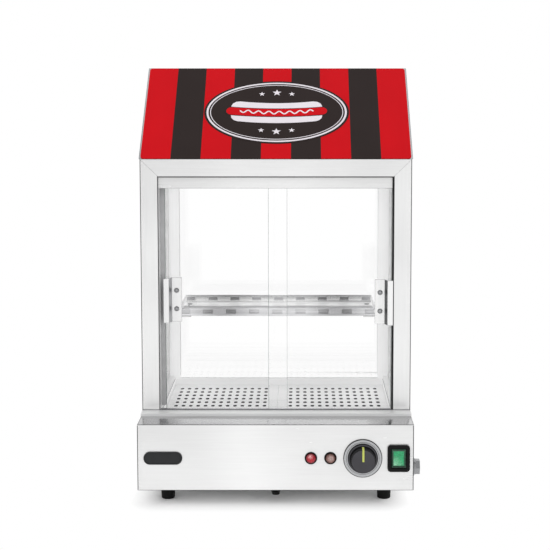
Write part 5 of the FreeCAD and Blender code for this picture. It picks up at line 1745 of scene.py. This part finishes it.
def rubber_feet():
    """Four tapered feet with rounded rims and a deep recess for the screw."""
    low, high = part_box("feet")
    radius, tread, recess, bore, web = 9.25 * mm, 8.5 * mm, 4.9 * mm, 2.6 * mm, 8.0 * mm
    top = high.z
    profile = [(bore, top), (radius, top), (tread, 0), (recess, 0), (recess, web), (bore, web), (bore, top)]
    part = turned("foot", rounded(profile, 1.2 * mm, skip=(1, 3, 4, 5)), Vector((0, 0, 0)), Z, 32, "rubber")
    places = [(x, y, 0) for x in (low.x + radius, high.x - radius) for y in (low.y + radius, high.y - radius)]
    return repeat("rubber_feet", part, places)


class STEAMER_OT_inside(bpy.types.Operator):
    """Dresses what lies inside the base and the small fasteners"""

    bl_idname = "steamer.inside"
    bl_label = "Inside parts"

    def execute(self, context):
        for key, nodes in {
            # The pan is dark below and pale above: painted shade and painted light.
            "pan": ("water_pan",),
            "mill": ("plate_ledges",),
            "sheath": ("heating_element",),
            "brass": ("element_mountings", "drain_pipe"),
            "bakelite": ("thermostat_body", "mains_terminals"),
            "copper": ("thermostat_capillary",),
            "pvc": ("wiring_loom",),
            "zinc": ("base_screws", "cabinet_fasteners"),
        }.items():
            for node in nodes:
                dress(node, key)
        return {"FINISHED"}


class STEAMER_PT_panel(bpy.types.Panel):
    """Lists the steamer's sizes, colours and pieces"""

    bl_idname = "STEAMER_PT_panel"
    bl_label = "Hot dog steamer"
    bl_space_type = "VIEW_3D"
    bl_region_type = "UI"
    bl_category = "Steamer"

    def draw(self, context):
        for group in (context.scene.steamer_sizes, context.scene.steamer_colours):
            box = self.layout.box()
            for name in group.__annotations__:
                box.prop(group, name)
        for piece in pieces:
            self.layout.operator(piece.bl_idname)


pieces = (
    STEAMER_OT_stage,
    STEAMER_OT_sheets,
    STEAMER_OT_glazing,
    STEAMER_OT_plates,
    STEAMER_OT_handles,
    STEAMER_OT_sign,
    STEAMER_OT_knob,
    STEAMER_OT_lamps,
    STEAMER_OT_switch,
    STEAMER_OT_trim,
    STEAMER_OT_inside,
)
classes = (SteamerColours, SteamerSizes, *pieces, STEAMER_PT_panel)


def register():
    for each in classes:
        bpy.utils.register_class(each)
    bpy.types.Scene.steamer_colours = bpy.props.PointerProperty(type=SteamerColours)
    bpy.types.Scene.steamer_sizes = bpy.props.PointerProperty(type=SteamerSizes)


def unregister():
    del bpy.types.Scene.steamer_colours
    del bpy.types.Scene.steamer_sizes
    for each in reversed(classes):
        bpy.utils.unregister_class(each)


def main():
    register()
    bpy.ops.steamer.stage()
    bpy.ops.steamer.sheets()
    bpy.ops.steamer.glazing()
    bpy.ops.steamer.plates()
    bpy.ops.steamer.handles()
    bpy.ops.steamer.sign()
    bpy.ops.steamer.knob()
    bpy.ops.steamer.lamps()
    bpy.ops.steamer.switch()
    bpy.ops.steamer.trim()
    bpy.ops.steamer.inside()


if __name__ == "__main__":
    main()
